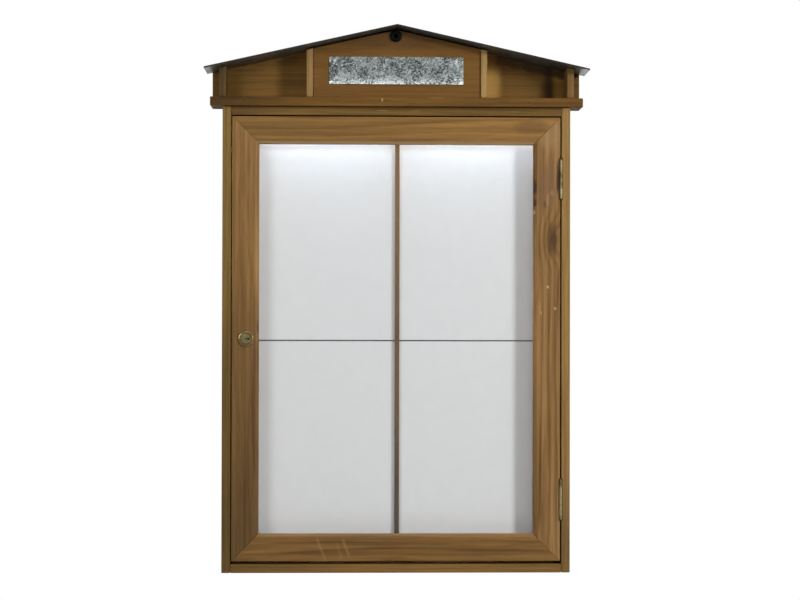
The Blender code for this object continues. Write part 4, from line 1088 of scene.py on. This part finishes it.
# %% Fastener tree
def make_fastener_tree():
    tree = bpy.data.node_groups.new("fasteners", "GeometryNodeTree")
    kinds = {"Points": "Geometry", "Head": "Object", "Head Radius": "Float", "Seed": "Int"}
    kinds["Finish"] = "Material"
    sockets = {}
    for label, kind in kinds.items():
        socket = tree.interface.new_socket(label, in_out="INPUT", socket_type="NodeSocket" + kind)
        sockets[label] = socket.identifier
    tree.interface.new_socket("Fasteners", in_out="OUTPUT", socket_type="NodeSocketGeometry")
    given = Outputs(tree.nodes.new("NodeGroupInput"))
    shown = add(tree, "GeometryNodeObjectInfo", {"Object": given["Head"]})["Geometry"]
    facing = add(tree, "GeometryNodeInputNamedAttribute", {"Name": "facing"}, data_type="FLOAT_VECTOR")
    back = calc("SCALE", facing["Attribute"], -1.0)
    aligned = add(tree, "FunctionNodeAlignRotationToVector", {"Vector": back}, axis="Y")[0]
    draw = {2: 0.0, 3: math.pi / 2, 8: given["Seed"]}
    chance = add(tree, "FunctionNodeRandomValue", draw, data_type="FLOAT")[1]
    turn = add(tree, "ShaderNodeCombineXYZ", {"Y": chance})[0]
    spun = add(tree, "FunctionNodeRotateRotation", {0: aligned, 1: turn}, rotation_space="LOCAL")[0]
    copies = {"Points": given["Points"], "Instance": shown, "Rotation": spun, "Scale": given["Head Radius"]}
    placed = add(tree, "GeometryNodeInstanceOnPoints", copies)[0]
    real = add(tree, "GeometryNodeRealizeInstances", {"Geometry": placed})[0]
    finished = add(tree, "GeometryNodeSetMaterial", {"Geometry": real, "Material": given["Finish"]})[0]
    fill(tree.nodes.new("NodeGroupOutput"), {0: finished})
    return tree, sockets


FASTENER_TREE, FASTENER_SOCKETS = make_fastener_tree()


FASTENERS = {
    # the kind and radius of the head, the finish, the seed of the turns, the body and the slot
    "corner_screws": ("countersunk", 0.0036, STEEL, 3, "case", "steel"),
    "roof_screws": ("pan", 0.0030, STEEL, 5, "case", "steel"),
    "case_leaf_screws": ("countersunk", 0.0024, HINGE_BRASS, 7, "case", "brass"),
    "door_leaf_screws": ("countersunk", 0.0024, HINGE_BRASS, 8, "door", "brass"),
    "hanger_screws": ("countersunk", 0.0026, STEEL, 9, "case", "steel"),
    "back_screws": ("countersunk", 0.0024, STEEL, 11, "case", "steel"),
    "cornice_brads": ("brad", 0.0011, BRAD_STEEL, 13, "case", "steel"),
    "bead_brads": ("brad", 0.0009, STEEL, 15, "door", "steel"),
}


def fasten(name, places, ways):
    """Heads at places, each facing its own way, as one plain mesh that rides on a body."""
    kind, radius, finish, seed, body, slot = FASTENERS[name]
    points = bpy.data.meshes.new(name + "_points")
    points.from_pydata(places, [], [])
    facing = points.attributes.new("facing", "FLOAT_VECTOR", "POINT")
    for item, way in zip(facing.data, ways):
        item.vector = Vector(way).normalized()
    holder = new_object(name + "_points", points)
    modifier = holder.modifiers.new("fasteners", "NODES")
    modifier.node_group = FASTENER_TREE
    values = {"Head": heads[kind], "Head Radius": radius, "Seed": seed, "Finish": finish}
    for label, value in values.items():
        modifier[FASTENER_SOCKETS[label]] = value
    mesh = plain_mesh(holder)
    mesh.name = name
    add_piece(name, mesh, body, finish)
    print(name, len(places), "heads,", len(mesh.polygons), "faces")


# %% [markdown]
# The places follow from the solids: a corner screw is in the middle of the top or bottom board's end, a
# hinge has three screws on each leaf, and the roof's screws sit over the gable's ends and its back.

# %% Places of the fasteners
LEFT, RIGHT, REAR, AHEAD = (-1, 0, 0), (1, 0, 0), (0, 1, 0), (0, -1, 0)
BOARD_HALF = 0.0065
CORNER_YS = (-0.012, -0.032)
ROOF_SCREWS = ((0.262, -0.014), (0.262, -0.036), (0.175, -0.004), (0.095, -0.004), (0.03, -0.004))
LEAF_SCREW_Y = -0.0356
LEAF_PITCH = 0.022
LEAF_FACES = (("case", 0.249, LEFT), ("door", 0.247, RIGHT))
BACK_SCREW_Y = -0.0002
HANGER_INSET = 0.0055
BACK_INSET = 0.007
BACK_XS = (-0.12, 0.0, 0.12)
BACK_ZS = (-0.30, -0.18, -0.06, 0.06, 0.18, 0.30)
CORNICE_XS = (-0.235, -0.022, 0.198)
BEAD_MIDDLE = 0.0362
BEAD_XS = (-0.16, -0.055, 0.055, 0.16)
BEAD_ZS = (-0.26, -0.13, 0.0, 0.13, 0.26)


def along_frame(low, high, inset, xs, zs, y):
    """Places along a frame's sides at some heights, then along its ends at some distances."""
    places = [(x, y, z) for z in zs for x in (low.x + inset, high.x - inset)]
    return places + [(x, y, z) for x in xs for z in (low.z + inset, high.z - inset)]


case_low, case_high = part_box("case_left_side")
outer_xs = (case_low.x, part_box("case_right_side")[1].x)
board_zs = (case_low.z + BOARD_HALF, case_high.z - BOARD_HALF)
places = [(x, y, z) for x in outer_xs for z in board_zs for y in CORNER_YS]
half = len(places) // 2
fasten("corner_screws", places, [LEFT] * half + [RIGHT] * half)

on_slope = [(side, x, y) for side in (-1, 1) for x, y in ROOF_SCREWS]
places = [(side * x, y, roof_high.z - x * math.tan(ROOF_PITCH)) for side, x, y in on_slope]
ways = [(side * math.sin(ROOF_PITCH), 0, math.cos(ROOF_PITCH)) for side, _, _ in on_slope]
fasten("roof_screws", places, ways)

for body, face_x, way in LEAF_FACES:
    places = []
    for where in ("upper", "lower"):
        low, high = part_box(f"{where}_hinge_{body}_leaf")
        middle = (low.z + high.z) / 2
        places += [(face_x, LEAF_SCREW_Y, middle + step * LEAF_PITCH) for step in (-1, 0, 1)]
    fasten(body + "_leaf_screws", places, [way] * len(places))

places = []
for name in ("left_hanger_plate", "right_hanger_plate"):
    low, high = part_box(name)
    for z in (low.z + HANGER_INSET, high.z - HANGER_INSET):
        places.append(((low.x + high.x) / 2, BACK_SCREW_Y, z))
fasten("hanger_screws", places, [REAR] * len(places))

places = along_frame(*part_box("back_panel"), BACK_INSET, BACK_XS, BACK_ZS, BACK_SCREW_Y)
fasten("back_screws", places, [REAR] * len(places))

low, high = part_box("cornice_board")
places = [(x, low.y, (low.z + high.z) / 2) for x in CORNICE_XS]
fasten("cornice_brads", places, [AHEAD] * len(places))

door_low, stile_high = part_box("door_left_stile")
door_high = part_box("door_right_stile")[1]
places = along_frame(door_low, door_high, BEAD_MIDDLE, BEAD_XS, BEAD_ZS, stile_high.y)
fasten("bead_brads", places, [REAR] * len(places))

for item in heads.values():
    bpy.data.objects.remove(item)

# %% [markdown]
# ## The light in the case
# A strip of small lamps shines down from behind the door's top rail, through a milky cover. It can't be
# seen from the front, but the sheets are brightest at the top because of it. A lamp of the scene could
# light them, but the cover would stay dark. So the cover itself glows in a cool white, with a soft
# unevenness from the lamps. Only its lower face is open, so only faces that look down glow. The lamps stop
# short of the channel's ends, or they would light the gaps beside the door.

# %% Lit diffuser
LIGHT_STRENGTH = 121.0
LAST_LAMP = 0.222
LAMP_FADE = 0.012
COOL_WHITE, BETWEEN_LAMPS = colour(222, 238, 255), colour(198, 214, 244)

MILKY, tree, shader = matt("milky_diffuser", (244, 246, 248), (236, 239, 242), 160.0, 0.45, 0.00002)
place = object_place(tree)
lamps = add(tree, "ShaderNodeTexWave", {"Vector": place, "Scale": 19.0})["Fac"]
lit = blend(ramp(lamps, 0.0, 1.0, 0.78, 1.0, False), BETWEEN_LAMPS, COOL_WHITE)
open_face = ramp(part(add(tree, "ShaderNodeNewGeometry")["Normal"], "Z"), -0.2, -0.7)
between = ramp(calc("ABSOLUTE", part(place, "X")), LAST_LAMP, LAST_LAMP - LAMP_FADE)
emission = blend(open_face * between, BLACK, lit)
fill(shader, {"Emission Color": emission, "Emission Strength": LIGHT_STRENGTH})
dress("light_diffuser", MILKY)

# %% [markdown]
# A path tracer finds the light of a long thin strip badly when the strip is a few long triangles. The cover
# is therefore a copy of the solid that is cut across into short lengths, one for each lamp on the strip
# behind it, so that the near lengths are tried most.

# %% Cover in short lengths
LAMP_PITCH = 0.010
CUT_WITHIN = 0.0000001

cover_low, cover_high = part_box("light_diffuser")
cover_mesh, work = open_copy("light_diffuser")
cuts = round((cover_high.x - cover_low.x) / LAMP_PITCH)
for step in range(1, cuts):
    place = (cover_low.x + step * (cover_high.x - cover_low.x) / cuts, 0, 0)
    everything = [*work.verts, *work.edges, *work.faces]
    bmesh.ops.bisect_plane(work, geom=everything, dist=CUT_WITHIN, plane_co=place, plane_no=(1, 0, 0))
close(work, cover_mesh)
add_piece("milky_cover", cover_mesh, "case", MILKY, ("light_diffuser",))
print("cover in", cuts, "lengths,", len(cover_mesh.polygons), "faces")


# %% [markdown]
# ## The pane
# The pane is a clear 3 mm sheet. A Principled shader with full transmission reflects and refracts. Light
# that falls through real glass is slow for a path tracer to find, so for shadow and diffuse rays the Light
# Path node swaps the glass for a Transparent shader. A little dust lifts the roughness here and there.

# %% Clear pane
PANE_TINT = (0.98, 0.983, 0.982, 1.0)

GLASS, tree, shader = new_material("clear_pane")
dust = ramp(noise(object_place(tree), 30.0, 5.0, 0.65), 0.5, 0.8, 0.0, 0.03)
fill(shader, {"Base Color": WHITE, "Transmission Weight": 1.0, "IOR": 1.45, "Roughness": dust})
path = add(tree, "ShaderNodeLightPath")
passing = calc("MAXIMUM", path["Is Shadow Ray"], path["Is Diffuse Ray"])
through = add(tree, "ShaderNodeBsdfTransparent", {"Color": PANE_TINT})[0]
swap = add(tree, "ShaderNodeMixShader", {0: passing, 1: Outputs(shader)[0], 2: through})
fill(tree.nodes["Material Output"], {"Surface": swap[0]})
dress("pane", GLASS)

# %% [markdown]
# ## Soft light and a white room
# The photograph is lit from both sides, stronger from the right, and from above. The stiles' shadows on the
# sheets show it, sharp on the right and soft on the left, and so does the dark band under the cornice.
# Three large lamps do that. Two more behind the case light its back, for the views from there. The world is
# a dim grey for the object, and white where the camera looks past it or through the pane. What metal and
# glass mirror is white behind the object and dark behind the camera, as in a studio.

# %% Lamps and world
def soft_lamp(name, place, width, power):
    """A round lamp that faces the case. One behind the case stays out of sight."""
    data = bpy.data.lights.new(name, "AREA")
    data.shape = "DISK"
    data.size = width
    data.energy = power
    lamp = new_object(name, data)
    way = (CASE_MIDDLE - Vector(place)).to_track_quat("-Z", "Y")
    lamp.matrix_world = Matrix.Translation(place) @ way.to_matrix().to_4x4()
    lamp.visible_camera = place[1] < 0


def seen_through(tree):
    """What a ray is, and a mask of the rays that come from the camera, also through the pane."""
    path = add(tree, "ShaderNodeLightPath")
    return path, calc("MAXIMUM", path["Is Camera Ray"], path["Is Transmission Ray"])


CASE_MIDDLE = Vector((0.0, -0.03, 0.10))
ROOM = (0.10, 0.10, 0.102, 1.0)

soft_lamp("key_from_the_right", (2.25, -2.10, 0.86), 0.6, 51)
soft_lamp("fill_from_the_left", (-1.50, -1.90, 0.60), 1.1, 15)
soft_lamp("from_above", (0.1, -1.10, 1.70), 0.9, 6.5)
soft_lamp("back_from_the_right", (1.60, 2.00, 0.90), 1.0, 14)
soft_lamp("back_from_the_left", (-1.50, 2.00, 0.90), 1.0, 10)

world = bpy.data.worlds.new("white_room")
bpy.context.scene.world = world
world.use_nodes = True
tree = world.node_tree
room = tree.nodes["Background"]
fill(room, {"Color": ROOM})
path, seen = seen_through(tree)
behind = ramp(part(add(tree, "ShaderNodeTexCoord")["Generated"], "Y"), -0.35, 0.25, 0.06, 1.0)
share = calc("MAXIMUM", seen, path["Is Glossy Ray"] * behind)
backdrop = add(tree, "ShaderNodeBackground", {"Color": WHITE, "Strength": 1.0})[0]
mix = add(tree, "ShaderNodeMixShader", {0: share, 1: Outputs(room)[0], 2: backdrop})
fill(tree.nodes["World Output"], {"Surface": mix[0]})
bpy.context.scene.view_settings.view_transform = "Standard"

# %% [markdown]
# ## The floor
# The case hangs, so the floor lies well below it and out of this picture. In other views it is something to
# stand over, pale and plain. The lamps are set for the object and leave the floor grey, so where the camera
# looks at it, also through the pane, a share of its brightness is its own. The rest still takes the shadow.

# %% Floor
FLOOR_Z = -1.15
FLOOR_HALF = 4.0
FLOOR_GLOW = 0.62

floor_mesh = bpy.data.meshes.new("pale_floor")
corners = [(x * FLOOR_HALF, y * FLOOR_HALF, FLOOR_Z) for x, y in ((-1, -1), (1, -1), (1, 1), (-1, 1))]
floor_mesh.from_pydata(corners, [], [(0, 1, 2, 3)])
floor = new_object("pale_floor", floor_mesh)
pale_floor, tree, shader = matt("pale_floor", (232, 232, 230), (228, 228, 226), 3.0, 0.9, 0.0001)
glow = seen_through(tree)[1] * FLOOR_GLOW
fill(shader, {"Emission Color": colour(236, 236, 234), "Emission Strength": glow})
floor_mesh.materials.append(pale_floor)
